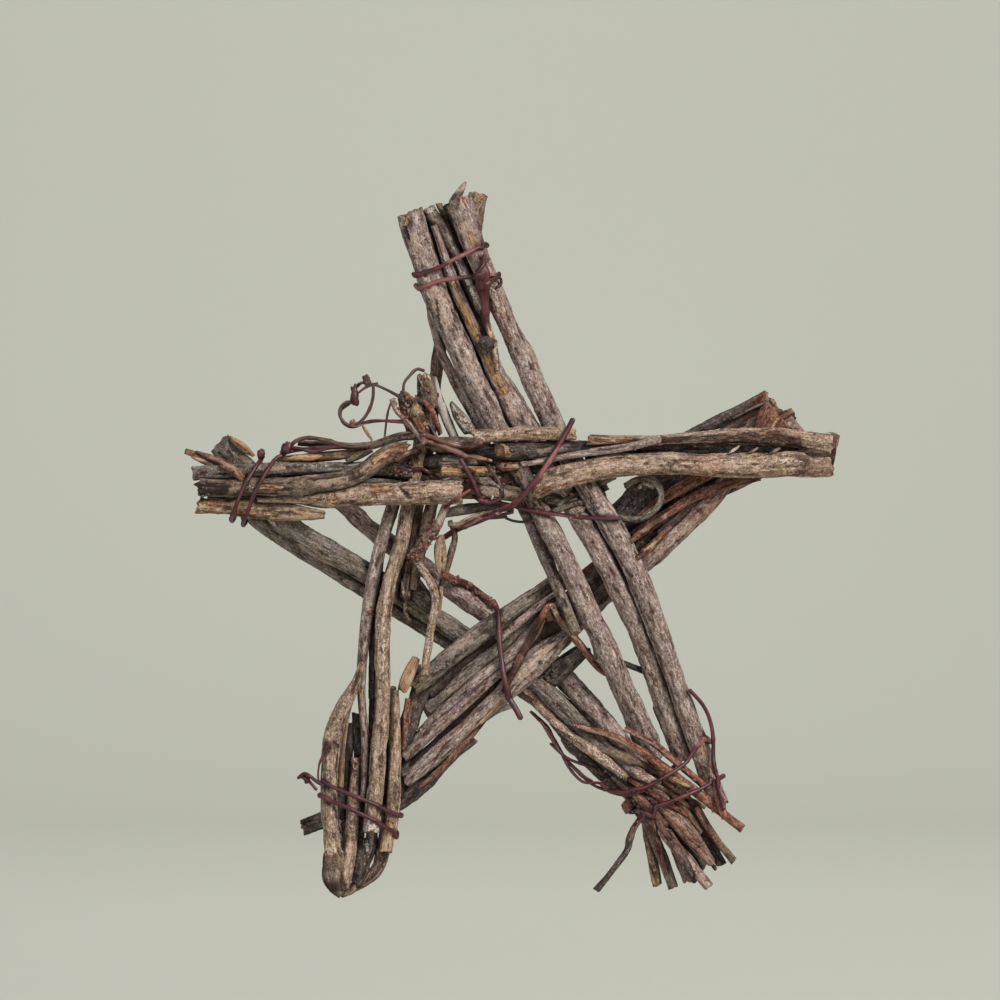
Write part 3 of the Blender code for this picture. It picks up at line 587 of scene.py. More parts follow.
twigLooks = {
    "right_leg_1": twig("rose", worn=[(434, 292, 447, 322, 16), (414, 236, 420, 262, 8),
        (466, 352, 480, 384, 9), (520, 470, 534, 500, 9)], bare=[(432, 234, 438, 252, 4),
        (403, 214, 408, 222, 6)], chalk=[(426, 279, 432, 284, 6), (462, 344, 468, 356, 4)],
        stain=[(437, 300, 440, 330, 3)]),
    "right_leg_2": twig("rose", slim=(0.6, 1, 1.12, 1.32, 1.32, 1.15, 1, 1, 1, 1, 1, 1, 1),
        bare=[(452, 284, 478, 338, 17, 0.9), (439, 204, 452, 236, 5), (489, 358, 503, 390, 15, 0.85)],
        chalk=[(445, 258, 451, 280, 12)], worn=[(500, 380, 520, 430, 8, 0.7),
        (560, 520, 600, 600, 8, 0.6)], stain=[(480, 338, 486, 350, 5)]),
    "right_leg_3": twig("rose", worn=[(464, 228, 474, 250, 12), (516, 380, 526, 405, 9),
        (530, 344, 540, 372, 8, 0.8)], bare=[(470, 236, 474, 246, 7), (500, 300, 506, 318, 5),
        (492, 308, 497, 328, 4)], rust=[(496, 312, 510, 340, 6), (456, 200, 466, 204, 8)],
        stain=[(514, 348, 518, 354, 4, 0.6)]),
    "right_leg_4": twig("rose", worn=[(430, 302, 468, 396, 7)], chalk=[(434, 316, 446, 344, 4, 0.7),
        (450, 362, 478, 428, 8, 0.9)]),
    "right_leg_5": twig("grey", worn=[(620, 520, 636, 560, 10)], bare=[(628, 560, 632, 572, 6)]),
    "right_leg_6": twig("grey", chalk=[(426, 206, 431, 209, 9), (456, 262, 462, 276, 4),
        (464, 276, 480, 308, 6)], stain=[(452, 258, 478, 316, 12, 0.75)], worn=[(431, 216, 446, 246, 8)]),
    "right_leg_7": twig("brown", strands=[((13, 14, 13, 12, 17, 19, 19, 18, 17), (450, 216, 5.9),
        (470, 285, 8), (486, 340, 10), (501, 392, 12), (528, 432, 13), (565, 473, 13.3), (608, 560, 15.5),
        (648, 644, 17.8), (686, 728, 19.9))]),
    "crossbar_1": twig("tan", cut=0.3, ragged=1.5, bare=[(197, 506, 208, 508, 9),
        (240, 512, 258, 512, 6, 0.8)], rust=[(196, 500, 220, 504, 8)],
        stain=[(264, 509, 292, 513, 3, 0.6)], worn=[(286, 516, 322, 517, 6)],
        strands=[((15, 16, 18, 17, 8), (197, 505, -5.6), (229, 507, -5.2), (261, 510, -4.4),
        (294, 512, -5.4), (327, 515, -6.4))]),
    "crossbar_2": twig("brown", cut=0.1, ragged=2.2, bare=[(378, 460, 404, 449, 12, 0.8),
        (262, 486, 284, 487, 7, 0.8)], chalk=[(251, 483, 255, 491, 6, 0.8)],
        stain=[(194, 488, 222, 489, 20)], worn=[(322, 483, 346, 479, 9), (364, 472, 378, 464, 9)],
        rust=[(398, 452, 412, 446, 8)], strands=[((17, 17, 17, 18, 17, 16, 17, 18, 18, 14),
        (197, 488, -9.7), (230, 488, -9.8), (262, 487, -9.8), (295, 486, -9.6), (325, 483, -9.3),
        (350, 478, -9), (366, 471, -8.8), (379, 461, -8.6), (393, 453, -8.5), (412, 447, -8.4))]),
    "crossbar_3": twig("grey", cut=0.2, slim=(0.86, 0.9, 0.9, 0.9), chalk=[(300, 466, 330, 465, 4, 0.7),
        (195, 468, 197, 478, 4, 0.8)], stain=[(200, 474, 222, 472, 6, 0.6)],
        worn=[(270, 468, 284, 468, 6)]),
    "crossbar_4": twig("pale", worn=[(310, 492, 350, 492, 14), (432, 488, 462, 490, 10)],
        bare=[(324, 488, 336, 500, 9, 0.8), (376, 489, 392, 488, 9, 0.8)],
        chalk=[(331, 488, 334, 498, 6, 0.7)], stain=[(402, 488, 410, 498, 5)]),
    "crossbar_6": twig("pale", worn=[(482, 434, 520, 431, 5)], chalk=[(476, 436, 484, 438, 5)]),
    "crossbar_7": twig("dark", bare=[(497, 447, 508, 455, 14)], worn=[(540, 452, 560, 450, 5)]),
    "crossbar_8": twig("rose"),
    "crossbar_9": twig("tan", bare=[(285, 459, 345, 458, 7)], stain=[(350, 462, 362, 460, 5)]),
    "crossbar_10": twig("brown"),
    "crossbar_11": twig("tan", bare=[(443, 470, 461, 470, 8), (474, 470, 487, 470, 8)],
        stain=[(464, 469, 471, 471, 9)]),
    "left_slope_1": twig("grey", cut=0.0, bare=[(234, 440, 252, 450, 9)], worn=[(300, 545, 330, 566, 8),
        (702, 862, 710, 878, 12)], chalk=[(262, 512, 276, 524, 5)]),
    "left_slope_2": twig("grey", worn=[(480, 602, 500, 616, 7)]),
    "left_slope_3": twig("rose", worn=[(352, 520, 368, 540, 7)]),
    "left_slope_4": twig("rust", bare=[(196, 456, 216, 461, 5)]),
    "left_slope_5": twig("rust", cut=0.4, slim=(0.8, 0.85, 0.9, 0.85, 0.8, 0.7),
        bare=[(600, 730, 640, 746, 5, 0.7), (644, 768, 672, 792, 4, 0.7)],
        chalk=[(571, 724, 578, 726, 7, 0.8)], stain=[(716, 816, 738, 830, 9, 0.5),
        (601, 738, 612, 747, 8, 0.6)], worn=[(582, 727, 640, 762, 7, 0.8)]),
    "left_slope_6": twig("rust", slim=(0.7, 0.8, 0.8), worn=[(626, 730, 676, 764, 5, 0.7)]),
    "left_slope_7": twig("rose", worn=[(690, 862, 706, 884, 9)]),
    "left_slope_8": twig("pale"),
    "left_slope_10": twig("dark", chalk=[(630, 840, 618, 862, 4, 0.6)], strands=[((7, 6, 8, 7, 6, 7),
        (648, 805, -5.6), (634, 825, -3.6), (629, 838, -2.4), (626, 850, -1), (612, 870, 2),
        (596, 891, 5.6))]),
    "left_slope_11": twig("brown"),
    "left_slope_12": twig("brown"),
    "right_slope_1": twig("rose", cut=0.3, worn=[(652, 556, 716, 502, 9)],
        chalk=[(664, 548, 706, 512, 6, 0.6)], rust=[(752, 440, 786, 418, 12), (630, 545, 660, 525, 7)],
        stain=[(700, 480, 720, 462, 5)]),
    "right_slope_2": twig("dark", rust=[(758, 400, 768, 394, 10)]),
    "right_slope_3": twig("brown", rust=[(760, 452, 796, 424, 12)], bare=[(776, 436, 800, 422, 4)]),
    "right_slope_4": twig("rust", bare=[(634, 542, 660, 520, 5)]),
    "right_slope_5": twig("rose", bare=[(500, 702, 462, 744, 5)], worn=[(550, 646, 520, 680, 9)],
        strands=[((8, 22, 21, 16, 16, 15), (569, 632, 10), (543, 655, 8), (513, 684, 6), (484, 711, 5.5),
        (441, 751, 7), (405, 783, 8.5)), ((6, 9, 11, 11, 10), (519, 660, 4), (498, 674, 3.5),
        (469, 700, 2.5), (437, 728, 4), (403, 758, 6.5))]),
    "right_slope_6": twig("rose", worn=[(470, 660, 500, 636, 8)]),
    "right_slope_7": twig("rose", worn=[(450, 690, 480, 668, 7)]),
    "right_slope_8": twig("rust", cut=0.2, bare=[(560, 617, 590, 652, 5, 0.7)],
        worn=[(556, 614, 600, 664, 6)], chalk=[(547, 608, 555, 613, 7, 0.8)],
        strands=[((5, 7, 9, 8, 8, 7), (537, 634, 4), (549, 606, 2.6), (562, 622, 3.6), (580, 645, 6),
        (598, 667, 9), (612, 677, 11.2))]),
    "right_slope_9": twig("dark", stain=[(420, 780, 450, 758, 8)]),
    "right_slope_10": twig("grey", bare=[(402, 690, 416, 664, 16), (530, 587, 541, 574, 8, 0.9)],
        worn=[(440, 656, 470, 640, 8)], rust=[(536, 578, 550, 562, 7)]),
    "right_slope_11": twig("grey", worn=[(450, 690, 480, 672, 6)]),
    "left_leg_1": twig("pale", slim=(0.92, 0.85, 0.78, 0.77, 0.77, 0.76, 0.92),
        rust=[(424, 378, 431, 432, 15)], stain=[(410, 392, 418, 430, 8), (426, 384, 428, 400, 6)],
        chalk=[(366, 824, 376, 832, 14), (384, 640, 384, 660, 4)], worn=[(392, 560, 388, 600, 8),
        (378, 700, 376, 760, 8)]),
    "left_leg_2": twig("rose", worn=[(376, 600, 372, 640, 6)]),
    "left_leg_3": twig("pale", chalk=[(326, 848, 336, 850, 6)], bare=[(328, 852, 334, 853, 4)],
        stain=[(362, 664, 352, 694, 8, 0.8), (338, 744, 340, 790, 3)],
        strands=[((7, 10, 15, 18, 17, 16, 16, 17, 17), (363, 661, 3), (357, 682, 2), (346, 704, 1),
        (335, 729, 0.9), (330, 760, 0.3), (329, 792, -0.5), (331, 825, -1.5), (334, 855, -2),
        (337, 886, -2.7))]),
    "left_leg_4": twig("tan"),
    "left_leg_5": twig("pale", cut=0.2, chalk=[(355, 760, 353, 838, 8, 0.6),
        (347, 862, 345, 884, 7, 0.5)], worn=[(350, 846, 346, 880, 6)], strands=[((10, 13, 13, 12, 14, 10),
        (356, 756, 5.7), (355, 788, 5), (353, 820, 4), (351, 848, 1.4), (347, 870, -2.6),
        (345, 889, -3.6))]),
    "left_leg_6": twig("pale", bare=[(388, 826, 385, 852, 14)], chalk=[(392, 767, 392, 781, 10, 0.6)]),
    "left_leg_7": twig("pale", chalk=[(416, 562, 430, 590, 7, 0.9), (430, 590, 428, 660, 5, 0.75)],
        rust=[(427, 574, 431, 586, 3)]),
    "left_leg_8": twig("grey", chalk=[(432, 378, 456, 439, 12, 1.4)], stain=[(440, 404, 445, 406, 4)],
        strands=[((8, 10, 10, 9), (432, 376, 6), (438, 397, 6), (447, 420, 6), (456, 441, 6))]),
    "left_leg_9": twig("brown", stain=[(433, 392, 441, 436, 10, 0.8)], worn=[(480, 192, 474, 214, 9)],
        bare=[(483, 188, 480, 196, 5)]),
    "left_leg_11": twig("brown", bare=[(364, 876, 372, 864, 9)]),
}
# Places where all the bark is redder, as (across, down, reach, share)
reddishPlaces = [
    (676, 806, 88, 0.52), (704, 492, 52, 0.5), (778, 420, 52, 0.45), (470, 474, 46, 0.34),
    (205, 478, 40, 0.3), (422, 410, 42, 0.4), (520, 690, 40, 0.36),
]
twigBuild = {
    "rowStep": 0.0007,
    "sideStep": 0.00071,
    "fewestSides": 12,
    "mostSides": 46,
    "wander": 0.07,
    "lumps": 0.105,
    "furrows": 0.00026,
    "grit": 0.00013,
    "fullRelief": 0.0035,
    "peelDepth": 0.00026,
    "stainDepth": 0.00025,
    "knotStep": 0.026,
    "knotHeight": 0.13,
    "knotFreeEnd": 0.004,
    "chanceStep": 0.03,
    "capShares": (0.97, 0.90, 0.80, 0.66, 0.5, 0.34, 0.18, 0.07),
    "barkRim": 0.93,
    "raggedEnd": 0.0011,
    "fullTear": 0.004,
    "tornRows": 8,
}
markChances = {"bare": 0.25, "chalk": 0.2, "stain": 0.25, "worn": 0.3}


def strokeShare(along, around, wobble, start, end, width):
    # 1 inside a stroke drawn from start to end on the unrolled bark, and 0 outside it
    direction = np.array(end) - np.array(start)
    length = max(float(direction @ direction), 1e-12)
    share = ((along - start[0]) * direction[0] + (around - start[1]) * direction[1]) / length
    share = np.clip(share, 0, 1)
    gap = np.hypot(along - start[0] - share * direction[0], around - start[1] - share * direction[1])
    return 1 - ease(gap / (width / 2) + 0.35 * wobble, 0.75, 1.15)


def raiseKnots(tube, swell, stain):
    # Knots at uneven spacing, each a swelling with a dark pit
    rng = tube.rng
    spot = rng.uniform(0.3, 0.9) * twigBuild["knotStep"]
    while spot < tube.reach[-1] - twigBuild["knotFreeEnd"]:
        turn = rng.uniform(-math.pi, math.pi)
        gap = np.abs((tube.theta - turn + math.pi) % (2 * math.pi) - math.pi)[None, :] * tube.widest
        run = tube.reach[:, None] - spot
        size = tube.widest * rng.uniform(0.35, 0.75)
        bulge = np.exp(-(run / (1.3 * size)) ** 2 - (gap / size) ** 2)
        pit = np.exp(-(run / (0.42 * size)) ** 2 - (gap / (0.36 * size)) ** 2)
        collar = np.exp(-(run / (1.6 * size)) ** 2)
        height = twigBuild["knotHeight"] * tube.widest * rng.uniform(0.5, 1.5)
        swell += height * (bulge - 0.8 * pit)
        swell += 0.2 * height * collar
        np.maximum(stain, 0.9 * pit, out=stain)
        spot += twigBuild["knotStep"] * rng.uniform(0.55, 1.6)


def chanceMarks(tube):
    # A few small marks of the kinds seen elsewhere, so that no side of a twig is plain
    rng = tube.rng
    marks = []
    for _ in range(int(tube.reach[-1] / twigBuild["chanceStep"] * rng.uniform(0.4, 1.2))):
        at = rng.uniform(0, tube.reach[-1])
        turn = rng.uniform(-math.pi, math.pi) * tube.widest
        kind = rng.choice(list(markChances), p=list(markChances.values()))
        marks.append((kind, (at, turn), (at + rng.uniform(0.001, 0.008), turn),
                      tube.widest * rng.uniform(0.25, 0.6)))
    return marks


def drawMarks(tube, look, wobble, shares):
    # Raises the share of each kind of mark where it is drawn on the bark
    marks = chanceMarks(tube)
    for kind in shares:
        for x0, y0, x1, y1, width, *strength in look.get(kind, ()):
            marks.append((kind, tube.nearest((x0, y0)), tube.nearest((x1, y1)),
                          width * sheet["metresAcross"], *strength))
    along = tube.reach[:, None]
    around = tube.widest * tube.theta[None, :] + 0 * along
    for kind, start, end, width, *strength in marks:
        share = strokeShare(along, around, wobble, start, end, width) * (strength or [1.0])[0]
        shares[kind] = np.maximum(shares[kind], share)
    for across, down, wide, share in reddishPlaces:
        x, z = toPlane((across, down))
        gap = np.hypot(tube.path[:, 0] - x, tube.path[:, 2] - z) / (wide * sheet["metresAcross"])
        shares["rust"] = np.maximum(shares["rust"], share * (1 - ease(gap, 0.5, 1.0))[:, None])


def closeEnd(tube, rows, end, look, seed):
    # A cut or broken end: the rim leans and tears, and rows close it toward the pith
    theta = tube.theta
    radius = tube.radius[end]
    out = tube.along[end] * (-1 if end == 0 else 1)
    lean = tube.rng.uniform(-0.35, 0.35) * radius * np.cos(theta - tube.rng.uniform(-math.pi, math.pi))
    tear = twigBuild["raggedEnd"] * look.get("ragged", 1.0) * min(1.0, radius / twigBuild["fullTear"])
    circle = np.stack([tube.cosine, tube.sine, 0 * theta], axis=1)
    rim = lean + tear * softNoise(circle * 2.2, seed + 30)
    rim = rim - rim.max()
    for step in range(twigBuild["tornRows"]):
        row = step if end == 0 else -1 - step
        rows["grid"][row] += out * (rim * (1 - step / twigBuild["tornRows"]))[:, None]
    edge = rows["grid"][end].copy()
    centre = edge.mean(axis=0)
    blank = np.zeros((len(theta), 3))
    caps = {key: [] for key in rows}
    for share in twigBuild["capShares"]:
        spread = np.stack([tube.cosine * 3 * share, tube.sine * 3 * share, 0 * theta + 5], axis=1)
        pitted = tear * 0.55 * softNoise(spread, seed + 31) * (1 - share ** 6)
        cut = look.get("cut", 1.0) if share < twigBuild["barkRim"] else 0.0
        inward = rows["barkSpace"][end].copy()
        inward[:, :2] = tube.shift[:2] + (inward[:, :2] - tube.shift[:2]) * share
        caps["grid"].append(centre + (edge - centre) * share + out * pitted[:, None])
        caps["barkSpace"].append(inward)
        caps["marks"].append(blank)
        caps["wear"].append(blank)
        caps["form"].append(np.tile([cut, share, 0.0], (len(theta), 1)))
    for key in rows:
        cap = np.array(caps[key])
        rows[key] = np.vstack([cap[::-1], rows[key]]) if end == 0 else np.vstack([rows[key], cap])


def twigTube(path, look, seed, own=None):
    # The places and fields of a bark-covered tube along a path
    sides = int(np.clip(2 * math.pi * path[:, 3].max() / twigBuild["sideStep"],
                        twigBuild["fewestSides"], twigBuild["mostSides"]))
    tube = Tube(path, frontFrames(path[:, :3]), sides, np.random.default_rng(seed))
    space = tube.space()
    wobble = layeredNoise(space * (0.5, 0.5, 0.35), seed + 7, 2)
    lumps = softNoise(space * (0.16, 0.16, 0.06), seed) + 0.5 * softNoise(space * (0.3, 0.3, 0.17), seed + 1)
    ridge = layeredNoise(space * (0.7, 0.7, 0.16), seed + 2, 3)
    grit = layeredNoise(space * (1.1, 1.1, 0.8), seed + 3, 2)
    swell = tube.radius[:, None] * (1 + twigBuild["lumps"] * lumps)
    slim = np.clip(tube.radius / twigBuild["fullRelief"], 0.45, 1.0)[:, None]
    relief = ridge * twigBuild["furrows"] * slim + grit * twigBuild["grit"] * slim

    shares = {kind: np.zeros(swell.shape) for kind in ("bare", "stain", "chalk", "worn", "rust")}
    raiseKnots(tube, swell, shares["stain"])
    drawMarks(tube, look, wobble, shares)
    bare, stain, chalk, worn, rust = shares.values()
    torn = 4 * bare * (1 - bare)
    relief = relief * (1 - 0.7 * bare) * (1 - 0.5 * worn) - twigBuild["peelDepth"] * slim * bare
    relief = relief + 0.4 * twigBuild["peelDepth"] * slim * torn * np.clip(wobble, 0, 1)
    relief = relief - twigBuild["stainDepth"] * slim * stain

    body = tube.skin(swell + relief, twigBuild["wander"], 90, seed + 20, look.get("thin", 1.0))
    shown = np.clip(relief / twigBuild["furrows"] / slim, -1, 1)
    flat = np.zeros_like(shown)
    rows = {"grid": body, "barkSpace": space,
            "marks": np.stack([bare, stain, chalk], axis=-1),
            "wear": np.stack([worn, rust, shown], axis=-1),
            "form": np.stack([flat, flat + 1, creviceShare(body, own)], axis=-1)}
    for end in (0, -1):
        closeEnd(tube, rows, end, look, seed)
    return rows


def thin(path, factors):
    # Thickness factors at even steps, from the end further left
    at = np.linspace(0, 1, len(path))
    if path[0, 0] > path[-1, 0]:
        at = at[::-1]
    path[:, 3] *= np.interp(at, np.linspace(0, 1, len(factors)), factors)


def planOf(widths, points):
    # Widths and squares on the layout as x, depth, z and radius; without a depth it is left open
    plan = []
    for i, point in enumerate(points):
        x, z = toPlane(point)
        depth = point[2] / 1000 if len(point) > 2 else np.nan
        width = np.interp(i / (len(points) - 1), np.linspace(0, 1, len(widths)), widths)
        plan.append((x, depth, z, width * sheet["metresAcross"] / 2))
    return np.array(plan)


def addTwig(name, look, tubes, nodes=()):
    addPiece(name + "_bark", tubes, barks[look["tone"]], nodes)


for order, (node, look) in enumerate(twigLooks.items()):
    paths = [smoothPath(planOf(widths, points), twigBuild["rowStep"])
             for widths, *points in look.get("strands", [])] or [tubePath(node, twigBuild["rowStep"])]
    for path in paths:
        thin(path, look.get("slim", (1.0, 1.0)))
    addTwig(node, look, [twigTube(path, look, seeds["twig"] + order + seeds["strand"] * i, node)
                         for i, path in enumerate(paths)], [node])
print("twigs made:", len(twigLooks))

# The forked twig of the crossbar: two arms that run together toward the right point
forkArms = {
    "stem": twig("pale", end=(831, 464), bare=[(526, 480, 548, 496, 18, 0.6)],
        chalk=[(524, 477, 536, 484, 8, 0.8), (770, 462, 800, 462, 3)], worn=[(560, 484, 590, 480, 8),
        (600, 468, 660, 462, 8), (690, 466, 740, 465, 7)], rust=[(560, 486, 590, 480, 4)]),
    "prong": twig("pale", end=(830, 448), rust=[(590, 440, 656, 441, 10)], bare=[(600, 438, 630, 439, 4)],
        stain=[(662, 441, 790, 442, 18, 0.78), (664, 448, 806, 450, 8, 0.95)],
        worn=[(784, 434, 802, 434, 8)], chalk=[(700, 434, 716, 434, 4, 0.6)]),
}
forkLook = {"endShare": 0.92, "ownReach": 0.004, "rowReach": 0.01}


def forkPath(rings, end):
    # One arm: its own even rings, then straight on to where the fork ends
    count = next((i for i, ring in enumerate(rings) if ring[4] != rings[0, 4]), len(rings))
    own = rings[:count, :4]
    x, z = toPlane(end)
    last = np.array([x, own[-1, 1], z, own[-1, 3] * forkLook["endShare"]])
    gap = last[0] - own[-1, 0]
    if gap < forkLook["ownReach"]:
        return own
    shares = np.linspace(0, 1, max(2, int(gap / forkLook["rowReach"])) + 1)[1:]
    return np.vstack([own] + [own[-1] + (last - own[-1]) * share for share in shares])


leftCaps = sorted(readTube("crossbar_5"), key=lambda rings: rings[0, 0])[:2]
leftCaps.sort(key=lambda rings: rings[0, 2])
forkTubes = []
for i, (rings, look) in enumerate(zip(leftCaps, forkArms.values())):
    path = smoothPath(forkPath(rings, look["end"]), twigBuild["rowStep"])
    forkTubes.append(twigTube(path, look, seeds["fork"] + i, "crossbar_5"))
addTwig("crossbar_5", forkArms["stem"], forkTubes, ["crossbar_5"])
print("fork made")

# The thin dark red vine
vineTones = {
    "red": named("deep middle light worn", "1c0709 431318 68282e 965a59"),
    "brown": named("deep middle light worn", "1c100c 44291f 735245 a08775"),
    "rose": named("deep middle light worn", "35191a 6c453a a17c6b c0a494"),
}


def makeVineSkin(tone):
    look = vineTones[tone]
    surface = Surface(tone + "Vine")
    place = surface.field("barkSpace")
    worn, relief, _ = surface.parts(surface.field("wear"))
    mottle = surface.noise(surface.stretched(place, 0.3), 0.55, 4.0, 0.6)
    streak = surface.noise(surface.stretched(place, 0.08), 2.4, 4.0, 0.6)
    drift = surface.noise(place, 0.13, 2.0)
    speck = surface.noise(place, 2.2, 2.0, 0.7)
    colour = surface.layered(tint(look["deep"]), [
        (look["middle"], mottle, 0.36, 0.54),
        (look["light"], 0.6 * streak + 0.4 * drift + 0.06 * relief, 0.48, 0.64, 0.0, 0.85),
        (look["worn"], worn + 0.9 * (mottle - 0.5), 0.65, 1.0, 0.0, 0.7),
        (look["deep"], speck, 0.28, 0.4, 0.6, 0.0)])
    height = 0.7 * streak + 0.5 * mottle + 0.2 * speck
    roughness = surface.rise(mottle, 0.35, 0.65, 0.40, 0.60)
    return surface.finish(colour, roughness, surface.bump(height, 0.5, 0.0003),
                          Coat_Weight=0.12, Coat_Roughness=0.35)


vineSkins = {tone: makeVineSkin(tone) for tone in vineTones}
vineBuild = {
    "rowStep": 0.0005,
    "sides": 14,
    "lumps": 0.10,
    "creases": 0.05,
    "wander": 0.22,
    "jointStep": 0.016,
    "jointReach": 0.0009,
    "jointHeight": 0.22,
    "jointFreeEnd": 0.002,
    "slimmer": 0.76,
    "tip": ((0.96, 0.25), (0.82, 0.52), (0.6, 0.74), (0.32, 0.88), (0.1, 0.94)),
}


def vineTube(path, seed, flat=None):
    # A slightly lumpy strand; flat is its width at even steps along, for one that was split
    frames = carriedFrames(path[:, :3]) if flat is None else frontFrames(path[:, :3])
    rng = np.random.default_rng(seed)
    tube = Tube(path, frames, vineBuild["sides"], rng)
    space = tube.space()
    lumps = softNoise(space * (0.2, 0.2, 0.14), seed)
    creases = layeredNoise(space * (1.2, 1.2, 0.1), seed + 1, 2)
    swell = tube.radius[:, None] * (1 + vineBuild["lumps"] * lumps + vineBuild["creases"] * creases)
    spot = rng.uniform(0.2, 1.0) * vineBuild["jointStep"]
    while spot < tube.reach[-1] - vineBuild["jointFreeEnd"]:
        joint = np.exp(-((tube.reach - spot) / vineBuild["jointReach"]) ** 2)
        swell += vineBuild["jointHeight"] * tube.radius[:, None] * joint[:, None]
        spot += vineBuild["jointStep"] * rng.uniform(0.5, 1.6)
    wide = 1.0
    if flat:
        shape = np.interp(tube.reach / tube.reach[-1], np.linspace(0, 1, len(flat)), flat)
        wide = shape * sheet["metresAcross"] / 2 / tube.radius
    worn = ease(softNoise(space * (0.2, 0.2, 0.08), seed + 9), 0.1, 0.8)
    rows = {"grid": tube.skin(swell, vineBuild["wander"], 130, seed + 5, 1.0, wide), "barkSpace": space,
            "wear": np.stack([worn, np.clip(creases, -1, 1), 0 * worn], axis=-1)}
    for end, out in ((0, -tube.along[0]), (-1, tube.along[-1])):
        edge = rows["grid"][end].copy()
        centre = edge.mean(axis=0)
        for share, push in vineBuild["tip"]:
            tip = {"grid": centre + (edge - centre) * share + out * push * tube.radius[end],
                   "barkSpace": rows["barkSpace"][end], "wear": rows["wear"][end]}
            for key in rows:
                pair = [tip[key][None], rows[key]] if end == 0 else [rows[key], tip[key][None]]
                rows[key] = np.vstack(pair)
    return rows


# The vines that stand for the frame's own; those with a bundle are drawn in round it
vineLooks = {
    "top_binding": {"tone": "red", "bundle": ((409, 211), (521, 471))},
    "left_binding": {"tone": "red", "bundle": ((193, 484), (400, 484))},
    "lower_left_binding": {"tone": "red", "bundle": ((372, 650), (352, 880)), "ends": (0.5, 1.0)},
    "lower_right_binding": {"tone": "red", "bundle": ((600, 722), (716, 870)), "ends": (1.0, 0.55)},
    "crossbar_vine": {"tone": "rose", "thick": 1.2, "ends": (0.7, 1.0)},
    "right_leg_vine": {"tone": "red", "hidden": ((618, 460), (680, 530))},
    "crossing_vine": {"tone": "red", "thick": 1.35, "hidden": ((430, 538), (493, 604))},
    "side_vine": {"tone": "red"},
    "tendril": {"tone": "brown", "stays": True},
    "top_strip": {"tone": "red", "stays": True, "flat": (4, 6, 15, 15, 12, 9, 8, 7, 5)},
}
